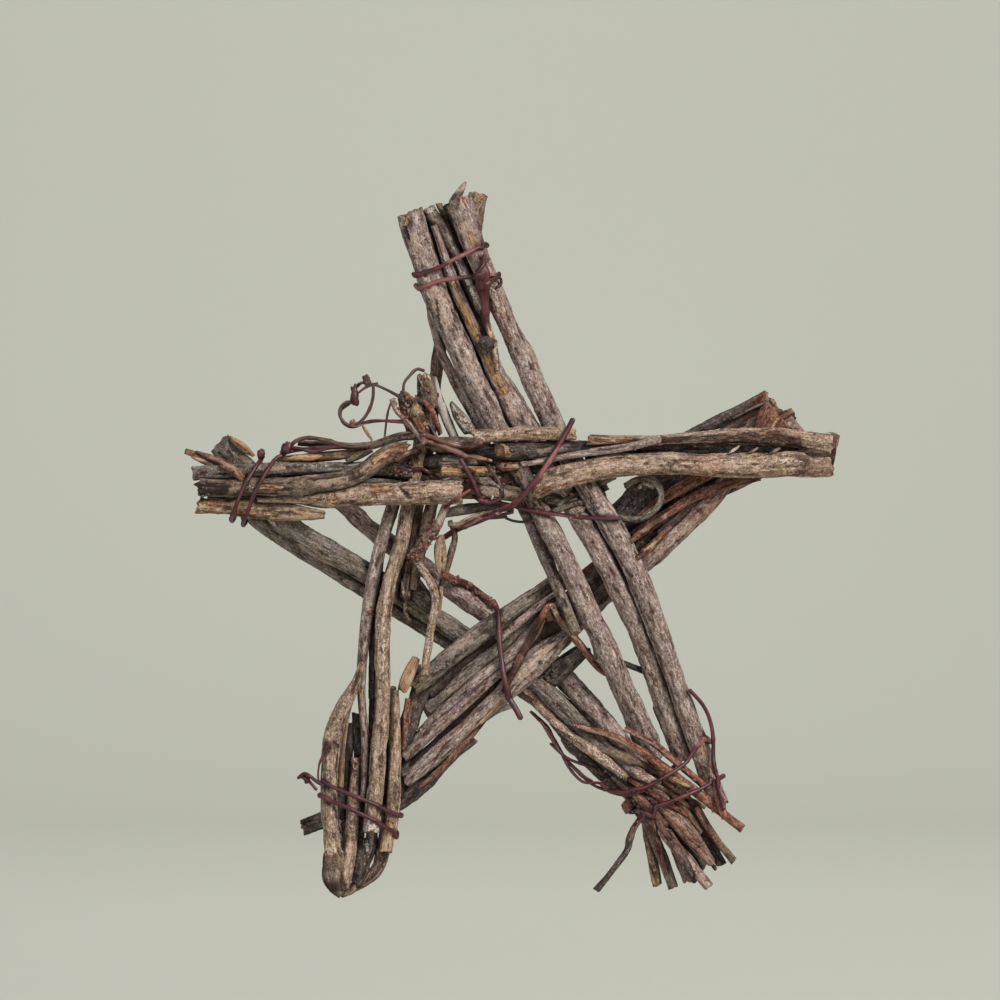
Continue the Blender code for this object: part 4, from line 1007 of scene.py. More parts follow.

# Pieces beyond the frame's own. A square may have a depth, in mm from the wall side of the hanging
# point; a piece without depths lies on the front of the star. The dark-toned pieces set behind the
# front twigs to close the gaps between them are painted shade: dark bark standing for the shadow there.
looseTwigs = {
    "top_gap_twig": loose("dark", (7, 9, 10, 8), (434, 222, 1), (448, 264, 2), (464, 318, 4),
        (494, 384, 7), (522, 436, 9)),
    "top_strip_twig": loose("tan", (7, 6, 4, 2), (438, 202), (443, 214), (448, 226), (453, 237),
        bare=[(444, 216, 453, 237, 5)]),
    "top_splinter": loose("rose", (2, 6, 9, 10), (466, 183, -4), (462, 190, -5.4), (457, 199, -6.6),
        (452, 208, -7), thin=0.5, cut=0.0, worn=[(464, 187, 458, 198, 5)]),
    "strip_side_twig": loose("pale", (4, 7, 7, 5), (486, 318, -4), (490, 333, -4), (495, 350, -3.5),
        (498, 372, -3), chalk=[(490, 334, 497, 362, 6, 0.8)], bare=[(487, 322, 492, 340, 5, 0.8)]),
    "spotted_side_twig": loose("grey", (5, 10, 12, 12), (450, 402, 3), (456, 412, 3), (463, 422, 3),
        (472, 436, 3), cut=0.0, ragged=2, chalk=[(452, 407, 466, 426, 10, 0.9),
        (470, 424, 474, 432, 5, 0.9)]),
    "joint_piece": loose("brown", (15, 17, 16, 12), (460, 486, -1), (476, 487, -2), (494, 490, -3),
        (512, 494, -2), (526, 496, 0), worn=[(484, 490, 504, 494, 9)]),
    "joint_back_piece": loose("rust", (12, 15, 12), (452, 480, 4), (474, 482, 4), (500, 480, 4),
        (516, 476, 4)),
    "pale_filling_piece": loose("grey", (5, 6, 5), (441, 459, -1), (454, 460, -1), (466, 459, -1)),
    "split_piece": loose("rose", (3, 7, 4), (446, 476, -5), (457, 479, -5), (464, 481, -5), thin=0.5),
    "crossing_piece": loose("rose", (6, 8, 5), (472, 479), (486, 481), (500, 478)),
    "under_crossbar_wide": loose("grey", (8, 11, 10, 8), (444, 514, 3), (460, 510, 3), (480, 507, 3),
        (504, 508, 3)),
    "under_crossbar_thin": loose("pale", (4, 5, 5, 4), (448, 525, 2), (459, 524, 1), (466, 520, 0),
        (480, 514, -1), (498, 510, -1), (514, 509, -1)),
    "inner_leg_top": loose("rose", (7, 8, 8), (449, 500, -2), (443, 513, -2), (438, 527, -2),
        worn=[(446, 506, 440, 522, 6)]),
    "inner_leg_piece": loose("brown", (9, 12, 12, 8), (440, 523, -2), (431, 534, -2.5), (420, 547, -3),
        (410, 561, -3), cut=0.0, ragged=2),
    "green_sliver": loose("tan", (5, 12, 12, 8, 3), (441, 534, 1), (440, 546, 1), (440, 558, 1),
        (441, 570, 2), (444, 580, 3), thin=0.5, cut=0.0, worn=[(440, 540, 440, 572, 8, 0.7)]),
    "outer_grey_twig": loose("brown", (5, 7, 7, 6), (450, 520, 5), (455, 536, 5), (451, 554, 5),
        (445, 574, 6), (441, 588, 8)),
    "pale_short_twig": loose("pale", (4, 5, 5, 3), (402, 580), (404, 598), (406, 617), (413, 622),
        chalk=[(402, 582, 406, 616, 4, 0.9)]),
    "edge_twig": loose("rust", (9, 8, 8, 7, 5), (441, 573), (452, 579), (468, 586), (482, 596),
        (497, 609), cut=0.0, ragged=2),
    "tan_short_twig": loose("tan", (5, 8, 8, 5), (441, 586, 5), (439, 600, 5), (438, 614, 5),
        bare=[(440, 590, 438, 610, 6, 0.8)]),
    "bridge_stub": loose("dark", (5, 6, 6), (617, 661, 11), (632, 667, 11), (648, 673, 11)),
    "low_stub": loose("dark", (5, 6, 5), (655, 707, 13), (661, 721, 14), (669, 742, 15)),
    "slope_dark_piece": loose("dark", (12, 16, 17, 12), (616, 545, 17), (642, 517, 15), (668, 494, 13),
        (694, 474, 11)),
    "slope_brown_piece": loose("brown", (11, 13, 14, 9), (640, 556, 17), (672, 526, 16), (704, 499, 14),
        (736, 484, 11), (762, 474, 9)),
    "slope_red_strip": loose("rust", (6, 9, 8, 5), (630, 541), (646, 529), (662, 519), (676, 509),
        worn=[(640, 533, 664, 517, 5)]),
    "slope_low_strip": loose("rust", (5, 8, 7, 4), (636, 558), (650, 547), (662, 536), (672, 526),
        bare=[(642, 552, 662, 537, 4)]),
    "loop_ring": loose("grey", (6, 6, 7, 6, 6, 6, 7, 6), (624, 486, 3), (638, 479, 1), (652, 481, 0),
        (660, 491, 0), (658, 505, 1), (647, 516, 2), (632, 520, 3), (616, 517, 4),
        chalk=[(658, 500, 646, 514, 4, 0.8)]),
    "loop_light": loose("pale", (3, 6, 4), (635, 490, 4), (645, 485, 3), (654, 488, 3),
        chalk=[(638, 489, 652, 487, 6, 0.9)]),
    "under_fork_twig": loose("grey", (5, 7, 7, 5), (556, 506, 1), (577, 493, 1), (598, 484, 1),
        (616, 476, 0)),
    "upper_joining_twig": loose("rose", (5, 5, 6, 5), (421, 437), (438, 440), (455, 444), (474, 445)),
    "tendril_stem": loose("rose", (6, 5, 5, 5), (393, 399, -7), (397, 411, -7), (404, 419, -8),
        (413, 429, -10), (423, 441, -12)),
    "tan_stub": loose("tan", (5, 6, 4), (422, 450), (414, 455), (406, 459)),
    "peeled_side": loose("tan", (4, 8, 9, 4), (230, 437, 2), (237, 442, 1.1), (245, 448, 0.9),
        (255, 456, 2), cut=0.0, bare=[(231, 436, 256, 453, 12)]),
    "rust_splinter": loose("rust", (3, 8, 10, 7), (197, 452), (214, 459), (231, 467), (246, 480), cut=0.2,
        worn=[(214, 458, 238, 470, 5)]),
    "torn_sliver": loose("tan", (2, 5, 4), (193, 457, -4), (203, 461, -6), (214, 466, -7), thin=0.5,
        cut=0.0, bare=[(194, 457, 213, 465, 6)]),
    "middle_sliver": loose("rose", (2, 5, 3), (305, 477), (322, 477), (344, 475), thin=0.5, cut=0.0,
        worn=[(308, 477, 340, 476, 4)]),
    "under_grey_piece": loose("grey", (4, 8, 8, 5), (356, 486, -6), (370, 483, -6.4), (386, 483, -6.4),
        (402, 484, -6), cut=0.0, chalk=[(362, 484, 384, 483, 5, 0.5)]),
    "tail_piece": loose("grey", (5, 8, 8, 5), (347, 462), (357, 457), (366, 453), (374, 450)),
    "leg_top_chunk": loose("brown", (16, 19, 19, 14), (424, 373, -1), (426, 385, -1.4), (428, 398, -1.6),
        (432, 412, -1.5), cut=0.2, ragged=2.6, stain=[(421, 384, 428, 408, 12, 0.7)],
        chalk=[(418, 376, 430, 376, 5, 0.8)], bare=[(418, 379, 431, 379, 4, 0.8)]),
    "knob_body": loose("tan", (14, 18, 19, 14), (417, 410, -3), (419, 419, -3.2), (424, 429, -3.5),
        (428, 438, -3.5), cut=0.0, rust=[(418, 416, 424, 432, 12, 0.7)],
        stain=[(430, 424, 433, 436, 6, 0.7)]),
    "arm_twig": loose("rust", (4, 6, 6, 5), (415, 400, -6), (426, 403, -6.6), (433, 412, -6),
        (438, 425, -4), (441, 436, -3), cut=0.0),
    "tan_block": loose("tan", (13, 15, 15, 13), (493, 452, -6), (498, 452, -6.2), (502, 452, -6.2),
        (507, 452, -6), ragged=0.5, bare=[(492, 452, 508, 452, 16, 0.8)]),
    "joint_dark_middle": loose("brown", (12, 18, 18, 14), (424, 470, 7), (456, 471, 7), (488, 471, 6),
        (520, 474, 5)),
    # The dark pieces here close gaps behind the front twigs: painted shade
    "inner_dark_piece": loose("dark", (13, 18, 20, 14), (402, 562, 10), (411, 580, 11), (422, 597, 12),
        (434, 612, 13)),
    "leg_right_gap": loose("dark", (8, 12, 13, 9), (392, 686, 7), (391, 716, 7), (389, 756, 7),
        (387, 808, 6)),
    "leg_gap_upper": loose("dark", (9, 11, 10), (356, 712, 8), (358, 738, 8), (359, 764, 8)),
    "tip_fill": loose("dark", (14, 18, 18, 10), (360, 838, 6), (361, 855, 5.5), (360, 871, 5),
        (355, 885, 4), chalk=[(364, 842, 370, 858, 4, 0.9)]),
    "behind_top_fill": loose("brown", (12, 15, 15, 12), (424, 444, 3), (440, 445, 3), (458, 444, 3),
        (476, 444, 3)),
    "slit_back": loose("dark", (8, 10, 10, 8), (634, 448, -2), (680, 446, -2), (720, 446, -2),
        (766, 449, -2)),
    "joint_fill": loose("dark", (14, 18, 14), (512, 463, 4), (530, 466, 4), (550, 470, 4)),
    "joint_low_fill": loose("dark", (10, 14, 10), (530, 500, 3), (546, 499, 3), (564, 500, 3)),
    "tangle_fill": loose("dark", (8, 10, 8), (386, 472, -2), (400, 473, -2), (414, 474, -2)),
    "low_gap_second": loose("dark", (9, 10, 8), (361, 788, 8), (361, 820, 8), (359, 852, 8)),
    "tip_join": loose("brown", (9, 8, 5), (356, 886, 4), (349, 891, 2), (342, 895, 0), cut=0.0),
    "slope_right_fill": loose("brown", (12, 18, 18, 12), (528, 648, 13), (545, 630, 13), (562, 613, 14),
        (580, 596, 16)),
    "loop_sliver": loose("tan", (2, 4, 2), (362, 424, -7), (367, 432, -6.5), (373, 441, -6), thin=0.5,
        cut=0.0),
    # The dark pieces here close gaps behind the front twigs: painted shade
    "slope_mid_fill": loose("dark", (12, 13, 12), (470, 664, 14), (492, 640, 14), (514, 618, 15)),
    "slope_mid_low_fill": loose("dark", (12, 13, 12), (476, 704, 13), (496, 684, 13), (516, 665, 13)),
    "leg_slit_fill": loose("dark", (7, 9, 9, 8), (385, 516, 10), (378, 578, 9), (374, 640, 8),
        (372, 700, 7.5)),
    "leg_top_fill": loose("dark", (7, 9, 9, 7), (404, 510, 9), (400, 545, 9), (397, 578, 9),
        (395, 604, 9)),
    "slope_low_fill": loose("dark", (12, 18, 18, 14), (528, 700, 15), (548, 682, 15), (568, 664, 14),
        (588, 646, 14)),
    "fan_mid_left": loose("dark", (5, 7, 6), (668, 828), (682, 854), (694, 881)),
    "fan_mid_thin": loose("brown", (4, 6, 4), (684, 824), (700, 846), (715, 869)),
    "fan_mid_right": loose("dark", (4, 6, 5), (700, 822), (712, 843), (724, 864)),
    "side_rust": loose("rust", (5, 7, 8, 6), (713, 778, -1), (716, 792, -5), (720, 805, -8),
        (723, 817, -9)),
    "cream_split": loose("tan", (2, 7, 8, 3), (284, 461, -6), (298, 458, -7), (312, 458, -7),
        (324, 456, -6), thin=0.5, bare=[(286, 460, 322, 457, 10)]),
    "lower_sheath": loose("brown", (19, 22, 23, 17, 6), (333, 851, -3), (334, 864, -3), (335, 876, -3),
        (338, 887, -2.6), (342, 896, -2), cut=0.0, ragged=1.4, worn=[(338, 872, 341, 890, 8, 0.7)]),
    "left_gap_twig": loose("dark", (9, 14, 15, 11), (350, 722, 9), (346, 752, 9), (344, 800, 9),
        (345, 852, 8)),
    "low_gap_twig": loose("dark", (11, 13, 9), (372, 826, 5), (371, 846, 5), (362, 874, 6),
        chalk=[(366, 842, 368, 850, 5)]),
    "chip_orange": loose("tan", (6, 8, 6), (668, 775), (679, 780), (691, 786),
        bare=[(674, 778, 690, 786, 7)]),
    "chip_rimmed": loose("pale", (7, 9, 6), (663, 782), (672, 786), (683, 793)),
    "chip_low": loose("rose", (6, 8, 5), (640, 794), (648, 798), (657, 803)),
    "chip_pink": loose("rose", (6, 8, 8, 5), (658, 806), (668, 813), (677, 821), (684, 830),
        worn=[(660, 808, 680, 824, 6)]),
    "chip_thin": loose("tan", (3, 5, 3), (686, 797), (695, 802), (705, 808),
        bare=[(687, 798, 704, 807, 5)]),
    "slope_inner_twig": loose("rust", (6, 8, 8, 6), (503, 692), (518, 662), (534, 632), (548, 605),
        worn=[(520, 650, 536, 622, 5)]),
    # The dark pieces here close gaps behind the front twigs: painted shade
    "slope_gap_upper": loose("dark", (14, 18, 16, 12), (428, 700, 14), (455, 677, 14), (488, 653, 14),
        (518, 629, 15)),
    "slope_gap_middle": loose("dark", (8, 10, 10, 8), (420, 734, 14), (450, 708, 13), (482, 681, 13),
        (508, 660, 14)),
    "slope_gap_lower": loose("dark", (8, 9, 9, 8), (408, 768, 12), (440, 740, 11), (470, 712, 11),
        (498, 686, 12)),
    "slope_low_edge": loose("rust", (4, 6, 7, 5), (418, 788, 8), (444, 766, 6), (480, 724, 6),
        (506, 686, 8)),
    "grey_tip_twig": loose("grey", (4, 6, 6), (486, 720, 7.6), (498, 711, 8.6), (513, 706, 9.6)),
    "cut_face": loose("tan", (9, 13, 14, 11), (417, 657, 4), (412, 668, 4), (406, 681, 4), (402, 692, 5),
        thin=0.4, cut=0.0, bare=[(418, 652, 401, 697, 34)]),
    "leg_side_dark": loose("brown", (6, 9, 9, 7), (418, 664, 8), (416, 686, 9), (409, 714, 9),
        (402, 748, 9)),
    "leg_rust_twig": loose("rust", (5, 7, 7), (408, 698, 5), (405, 722, 5), (401, 750, 6)),
    "leg_gap_twig": loose("dark", (6, 8, 9, 9), (371, 610, 8), (373, 660, 8), (373, 712, 8),
        (372, 780, 8)),
    "lower_edge_rust": loose("rust", (3, 5, 5, 3), (530, 712, 15), (546, 727, 15), (553, 739, 14),
        (566, 761, 12)),
    "tan_flap": loose("tan", (4, 11, 6), (561, 739, 13), (572, 748, 12), (587, 761, 11), thin=0.5,
        bare=[(563, 741, 584, 758, 12, 0.6)]),
    "low_olive_twig": loose("brown", (7, 9, 7), (598, 747), (626, 758), (664, 776)),
    "low_dark_twig": loose("dark", (8, 12, 14, 10), (552, 722, 14), (584, 757, 11), (610, 781, 8),
        (640, 801, 5)),
    "low_grey_twig": loose("pale", (7, 10, 12, 12, 8), (550, 719), (566, 732), (584, 745), (604, 759),
        (628, 778), chalk=[(552, 722, 580, 741, 8, 0.75), (592, 751, 622, 773, 8, 0.8)]),
    "low_tan_twig": loose("pale", (9, 11, 11, 8), (518, 685, 14), (540, 706, 13), (561, 727, 11),
        (582, 744, 9)),
    "low_rose_twig": loose("rose", (9, 12, 12, 9), (532, 679, 17), (553, 701, 15), (571, 722, 13),
        (594, 741, 11)),
    "low_gap_dark": loose("dark", (9, 11, 11, 9), (548, 688, 20), (575, 712, 19), (600, 735, 16),
        (628, 757, 12)),
    "low_fan_dark": loose("dark", (10, 13, 13, 10), (610, 772, 8), (634, 790, 6), (656, 810, 4),
        (676, 838, 4)),
    "low_pink_piece": loose("rose", (6, 10, 7), (630, 769), (644, 776), (659, 784),
        worn=[(634, 771, 655, 782, 8)], chalk=[(636, 773, 652, 781, 6, 0.8)]),
    # The dark pieces here close gaps behind the front twigs: painted shade
    "crossbar_back_upper": loose("dark", (10, 14, 14, 12), (206, 479, 3), (290, 478, 3), (376, 466, 4),
        (452, 460, 4), (530, 458, 3)),
    "crossbar_back_lower": loose("dark", (10, 13, 13, 10), (208, 498, 2), (290, 497, 2), (370, 482, 3),
        (446, 478, 4)),
    "fork_gap_twig": loose("dark", (7, 10, 11, 9), (584, 458, 0), (660, 454, -1), (740, 449, -1),
        (822, 450, -2)),
    "tip_dark_twig": loose("dark", (12, 15, 13), (686, 470, 10), (732, 436, 8), (776, 404, 7)),
    "tip_rust_twig": loose("rust", (10, 14, 15, 13), (706, 470, 7), (740, 445, 5), (770, 426, 4),
        (794, 413, 4), bare=[(770, 427, 792, 415, 4)]),
    # The dark pieces here close gaps behind the front twigs: painted shade
    "top_back_twig": loose("dark", (9, 14, 14, 12), (418, 212, 5), (438, 252, 6), (458, 306, 7),
        (488, 370, 9)),
    "top_back_second": loose("dark", (8, 12, 12, 9), (446, 252, 7), (466, 300, 7), (482, 338, 8),
        (502, 384, 10)),
    "top_back_low": loose("dark", (8, 11, 10), (438, 318, 9), (458, 360, 9), (482, 410, 9)),
    "top_side_back": loose("dark", (9, 10, 9), (446, 204, 3), (466, 246, 4), (488, 300, 6)),
    "slope_end_fill": loose("dark", (12, 18, 22, 20, 14), (434, 664, 13), (418, 700, 12), (405, 738, 12),
        (399, 775, 12), (397, 800, 12)),
    "fan_brown": loose("brown", (7, 10, 10), (664, 812), (688, 838), (710, 861),
        worn=[(698, 850, 710, 861, 7)], stain=[(676, 824, 690, 840, 5, 0.7)]),
    "fan_dark": loose("dark", (6, 8, 6), (656, 818), (676, 848), (692, 874)),
    "fan_thin": loose("rust", (4, 6, 5), (650, 812), (658, 842), (666, 874)),
    "middle_dark": loose("dark", (5, 8, 7), (598, 762), (628, 786), (655, 806)),
    "middle_brown": loose("brown", (6, 9, 7), (612, 776), (640, 799), (668, 826)),
    "middle_rust": loose("rust", (4, 7, 5), (622, 774), (652, 792), (686, 815)),
    "corner_dark_upper": loose("dark", (11, 15, 15, 12), (642, 748, 11), (668, 782, 8), (690, 808, 6),
        (706, 836, 5)),
    "corner_dark_lower": loose("brown", (9, 12, 11), (650, 772, 7), (676, 800, 4), (702, 834, 2)),
    "leg_brown_back": loose("brown", (13, 14, 13, 11), (433, 498, 5), (426, 530, 6), (418, 562, 7),
        (412, 592, 8), worn=[(432, 506, 427, 526, 7, 0.7)]),
    "joint_dark_upper": loose("dark", (12, 17, 17, 14), (436, 448, 6), (470, 452, 6), (504, 452, 5),
        (536, 450, 4)),
    "joint_dark_lower": loose("brown", (14, 19, 18, 14), (438, 495, 6), (474, 489, 6), (512, 490, 5),
        (548, 498, 5)),
    "joint_rose_twig": loose("rose", (6, 10, 9, 6), (438, 462, 1), (452, 463, 0), (466, 463, 0),
        (478, 462, 0)),
    "joint_red_piece": loose("rust", (8, 12, 11), (492, 466, -1), (504, 466, -2), (520, 466, -2),
        bare=[(508, 466, 518, 466, 6)]),
    "fork_low_dark": loose("dark", (10, 14, 13, 9), (530, 508, 6), (556, 503, 5), (582, 496, 4),
        (608, 486, 3)),
    "fork_low_grey": loose("grey", (5, 8, 8, 5), (545, 515, 2), (568, 506, 1), (590, 500, 1),
        (606, 494, 1)),
    "fork_end_bridge": loose("pale", (6, 22, 36, 40, 41, 41, 38), (795, 454, -7), (802, 455, -7.2),
        (809, 455, -7.3), (816, 455, -7.3), (824, 455, -7.3), (832, 455, -7.3), (837, 455, -7.2),
        thin=0.54, cut=0.2, stain=[(812, 448, 836, 462, 26, 0.5)], worn=[(822, 439, 836, 440, 6)]),
    "slit_splinter": loose("pale", (2, 3, 2), (724, 456, -9), (731, 451, -9.4), (738, 446, -9.6),
        chalk=[(725, 455, 737, 447, 4)]),
    "slit_splinter_short": loose("pale", (2, 3, 2), (744, 455, -9), (750, 452, -9.2), (756, 448, -9.4)),
    "slit_splinter_end": loose("rose", (2, 3, 2), (766, 455, -9), (772, 452, -9.2), (778, 448, -9.4)),
    "tip_stub": loose("rust", (24, 34, 41, 43), (752, 459, 1), (763, 445, 0.8), (774, 430, 0.6),
        (785, 414, 0.6), thin=0.24, cut=0.3, ragged=1.6, bare=[(772, 428, 783, 412, 5, 0.8),
        (781, 430, 790, 418, 4, 0.7)], stain=[(788, 434, 800, 424, 7, 0.7),
        (760, 428, 772, 410, 6, 0.5)]),
    "fork_under_twig": loose("rust", (6, 9, 10, 8), (760, 478, 2), (730, 484, 2), (696, 496, 3),
        (662, 516, 5), stain=[(668, 510, 756, 480, 8, 0.55)]),
    "tip_fill_upper": loose("brown", (14, 16, 15), (696, 458, 9), (738, 426, 8), (776, 402, 7),
        rust=[(750, 418, 776, 402, 12)]),
    "tip_pale_line": loose("pale", (2, 3, 3), (732, 419), (750, 409), (768, 401),
        chalk=[(734, 418, 766, 402, 4)]),
    "loop_back": loose("dark", (18, 26, 26, 20), (604, 538, 12), (628, 510, 11), (652, 486, 10),
        (676, 466, 9), thin=0.6),
    "slope_gap_dark": loose("dark", (14, 18, 17, 14), (660, 536, 12), (696, 500, 10), (728, 472, 9),
        (752, 452, 8)),
    "slope_maroon_twig": loose("rust", (7, 11, 12, 10), (636, 520, 6), (664, 498, 5), (692, 482, 4),
        (722, 468, 3), stain=[(660, 500, 720, 470, 8, 0.55)]),
    "knob_chunk": loose("rust", (10, 18, 20, 14), (402, 392, 0), (408, 406, -1), (412, 420, -1),
        (414, 434, -1), stain=[(404, 396, 410, 420, 10, 0.7)]),
    "middle_tan": loose("tan", (3, 6, 4), (640, 776), (664, 789), (690, 807)),
}
looseVines = {
    "top_hook": loose("red", (3,), (487, 285), (493, 281), (500, 279), (501, 285), (497, 288)),
    "top_fork_vine": loose("red", (3,), (476, 279), (480, 271), (489, 260)),
    "upper_vine": loose("rose", (5,), (421, 434), (431, 437), (441, 441), (456, 446), (470, 446),
        (480, 443)),
    "left_upper_vine": loose("brown", (4,), (292, 446, -5), (298, 441, -6), (309, 438, -6),
        (328, 441, -6), (348, 446, -7), (368, 447, -8)),
    "left_second_vine": loose("red", (3.5,), (290, 447, -7), (302, 449, -7), (314, 452, -7),
        (328, 449, -7), (346, 446, -7)),
    "under_vine": loose("red", (3.5,), (462, 526, 0), (470, 522, 0), (480, 519, -1), (496, 516, -1),
        (512, 512, -2)),
    "joint_vine": loose("red", (3,), (445, 508), (452, 502), (460, 496), (470, 490)),
    "joint_loop": loose("red", (4.5,), (474, 496), (483, 501), (492, 502), (500, 499)),
    "small_loop": loose("brown", (3,), (506, 518), (514, 521), (524, 522), (534, 520)),
    "tendril_ring": loose("brown", (3.2,), (374, 386, -8), (374, 398, -8), (371, 409, -7), (365, 419, -7),
        (357, 425, -7), (348, 425, -7), (341, 417, -7), (342, 408, -7), (349, 403, -8), (357, 405, -9)),
    "tendril_link": loose("brown", (2.6,), (359, 394, -8), (367, 388, -8), (378, 384, -8)),
    "tendril_cross": loose("red", (2.6,), (361, 424, -7), (376, 421, -8), (390, 422, -8), (404, 423, -8)),
    "tendril_hair": loose("brown", (2.2,), (393, 400, -7), (389, 411, -7), (387, 422, -6),
        (385, 438, -5)),
    "tendril_arch": loose("brown", (3,), (404, 393, -8), (405, 384, -8), (410, 377, -7), (417, 370, -5),
        (424, 371, -3)),
    "low_vine_upper": loose("red", (3,), (551, 745, 13), (561, 754, 11), (570, 760, 9), (585, 765, 7),
        (596, 769, 6)),
    "low_vine_lower": loose("red", (3,), (563, 757, 11), (570, 769, 9), (583, 782, 6), (599, 783, 4),
        (608, 788, 3)),
    "low_vine_inner": loose("red", (2.5,), (566, 760, 11), (575, 768, 9), (585, 777, 7), (592, 781, 6)),
    "low_vine_end": loose("red", (4,), (601, 784, 3), (610, 791, 1), (626, 794, -1), (642, 790, -3)),
    "knot_branch_low": loose("rose", (5,), (425, 443), (416, 450), (407, 454), (398, 460)),
    "knot_branch_inner": loose("red", (3,), (421, 444), (412, 455), (402, 462), (396, 472)),
    "beaded_vine": loose("red", (3.6,), (398, 467), (410, 471), (421, 469), (432, 474), (441, 480),
        (450, 479)),
    "twisted_vine": loose("brown", (3.2,), (484, 462), (491, 470), (497, 478), (501, 487), (503, 497)),
    "under_second_vine": loose("brown", (3.2,), (506, 517, 0), (494, 518, 0), (480, 519, -1),
        (466, 526, 0), (452, 527, 1)),
    "knot_tail": loose("red", (3,), (301, 775, -4), (309, 779, -5), (317, 788, -5)),
    "knot_wrap": loose("red", (3.5,), (300, 777, -3), (306, 772, -6), (312, 775, -7), (318, 780, -6),
        (324, 784, -5)),
}
# Bits of bark and lichen, as (across, down, spread, count, size): all in squares
crumbSpots = {
    "red": [(289, 448, 7, 22, 5), (402, 462, 11, 22, 4), (433, 530, 7, 14, 5), (418, 548, 6, 12, 5),
            (481, 278, 7, 10, 4), (655, 800, 8, 8, 4), (434, 532, 8, 14, 5), (412, 556, 7, 12, 5)],
    "brown": [(434, 530, 8, 22, 6), (424, 541, 8, 20, 6), (413, 555, 7, 16, 5), (426, 392, 8, 26, 4),
              (400, 463, 12, 22, 5), (455, 580, 7, 8, 4), (474, 589, 7, 8, 4)],
    "rust": [(434, 530, 8, 10, 6), (424, 541, 8, 12, 6), (413, 555, 7, 10, 5), (425, 392, 8, 6, 4),
             (400, 463, 12, 24, 5), (455, 580, 7, 8, 4), (474, 589, 7, 8, 4), (491, 602, 6, 12, 4),
             (410, 408, 12, 16, 5), (426, 442, 8, 10, 5), (372, 612, 5, 10, 4), (409, 558, 6, 10, 5),
             (404, 455, 8, 14, 4), (675, 802, 9, 12, 4), (432, 400, 9, 12, 4)],
    "dark": [(424, 396, 8, 20, 4), (397, 466, 11, 18, 5), (482, 338, 5, 5, 4), (546, 671, 11, 14, 5),
             (408, 398, 10, 12, 5), (500, 470, 18, 14, 5), (206, 490, 10, 12, 5), (634, 498, 16, 18, 5),
             (630, 806, 8, 12, 6), (487, 344, 5, 6, 7), (287, 448, 6, 12, 6), (308, 779, 6, 8, 5),
             (368, 382, 4, 6, 6), (500, 520, 14, 10, 4)],
    "rose": [(492, 490, 11, 18, 5), (697, 770, 13, 14, 4), (425, 444, 5, 8, 4), (394, 402, 4, 6, 4)],
    "pale": [(420, 376, 8, 10, 4), (523, 503, 1, 2, 5), (535, 501, 1, 1, 4), (499, 513, 2, 2, 5),
             (416, 726, 7, 8, 3), (572, 510, 8, 8, 4), (499, 511, 4, 6, 3), (466, 421, 9, 14, 3)],
    "tan": [(418, 412, 7, 12, 5), (423, 428, 6, 8, 4)],
    "grey": [(586, 500, 16, 16, 5), (540, 503, 12, 12, 4), (610, 780, 12, 10, 4)],
}
# Rounder lumps, as (across, down, depth in mm, long, wide, tone): squares again
looseLumps = {
    "tan_knob": (417, 411, -4.6, 17, 12, "tan"),
    "knob_side": (411, 414, -3.5, 12, 9, "rust"),
    "dark_knot": (487, 344, -3.6, 15, 18, "dark"),
    "strip_knot": (481, 276, -11, 14, 12, "red"),
    "ball_bark": (433, 531, -3, 13, 11, "rust"),
    "bud": (356, 396, -9, 22, 8, "red"),
    "bud_crumb": (354, 424, -7, 8, 7, "rust"),
    "binding_knot": (263, 454, -9.2, 10, 8, "red"),
    "arm_knob": (368, 382, -8, 12, 8, "dark"),
    "twist_knot": (288, 448, -8, 13, 10, "red"),
    "low_knob": (628, 805, 2, 15, 12, "rust"),
    "left_knot": (308, 778, -5, 10, 7, "red"),
}
laying = {
    "rounds": 60,
    "sink": 0.25,
    "startsAt": -0.2,
    "step": 0.0006,
    "frontSpare": 0.001,
    "openDepth": -0.006,
}


def frontTree():
    # All that is built so far, to lay loose pieces on
    verts = []
    faces = []
    for piece in bpy.context.scene.objects:
        if piece.name.endswith(("_bark", "_skin")):
            start = len(verts)
            verts += [vertex.co.copy() for vertex in piece.data.vertices]
            faces += [[start + i for i in face.vertices] for face in piece.data.polygons]
    return BVHTree.FromPolygons(verts, faces)


def frontAt(tree, x, z):
    spot = tree.ray_cast(Vector((x, laying["startsAt"], z)), Vector((0.0, 1.0, 0.0)))[0]
    return None if spot is None else spot.y


def keepBehind(path):
    # No place of a path stands further forward than the frame does
    path[:, 1] = np.maximum(path[:, 1], cadBox[0][1] - laying["frontSpare"] + path[:, 3])


def layPath(tree, plan):
    # A path with x, depth, z and radius; without depths it is drawn taut over the front
    if not np.isnan(plan[0, 1]):
        return smoothPath(plan, laying["step"])
    path = smoothPath(np.nan_to_num(plan), laying["step"])
    limit = np.full(len(path), np.nan)
    for i, (x, _, z, radius) in enumerate(path):
        front = frontAt(tree, x, z)
        if front is not None:
            limit[i] = front - radius * (1 - laying["sink"])
    known = np.nonzero(~np.isnan(limit))[0]
    if not len(known):
        path[:, 1] = laying["openDepth"]
        return path
    path[:, 1] = np.interp(np.arange(len(path)), known, limit[known])
    limit = np.where(np.isnan(limit), 1.0, limit)
    for _ in range(laying["rounds"]):
        middle = (path[:-2, 1] + 2 * path[1:-1, 1] + path[2:, 1]) / 4
        path[1:-1, 1] = np.minimum(limit[1:-1], middle)
    keepBehind(path)
    return smoothPath(path, laying["step"])


def addLooseTwigs(laid):
    # Those with depths of their own come first, and the others are then laid on all that is there
    tree = frontTree()
    for order, (name, look) in enumerate(looseTwigs.items()):
        plan = planOf(look["widths"], look["points"])
        if np.isnan(plan[0, 1]) == laid:
            addTwig(name, look, [twigTube(layPath(tree, plan), look, seeds["looseTwig"] + order)])


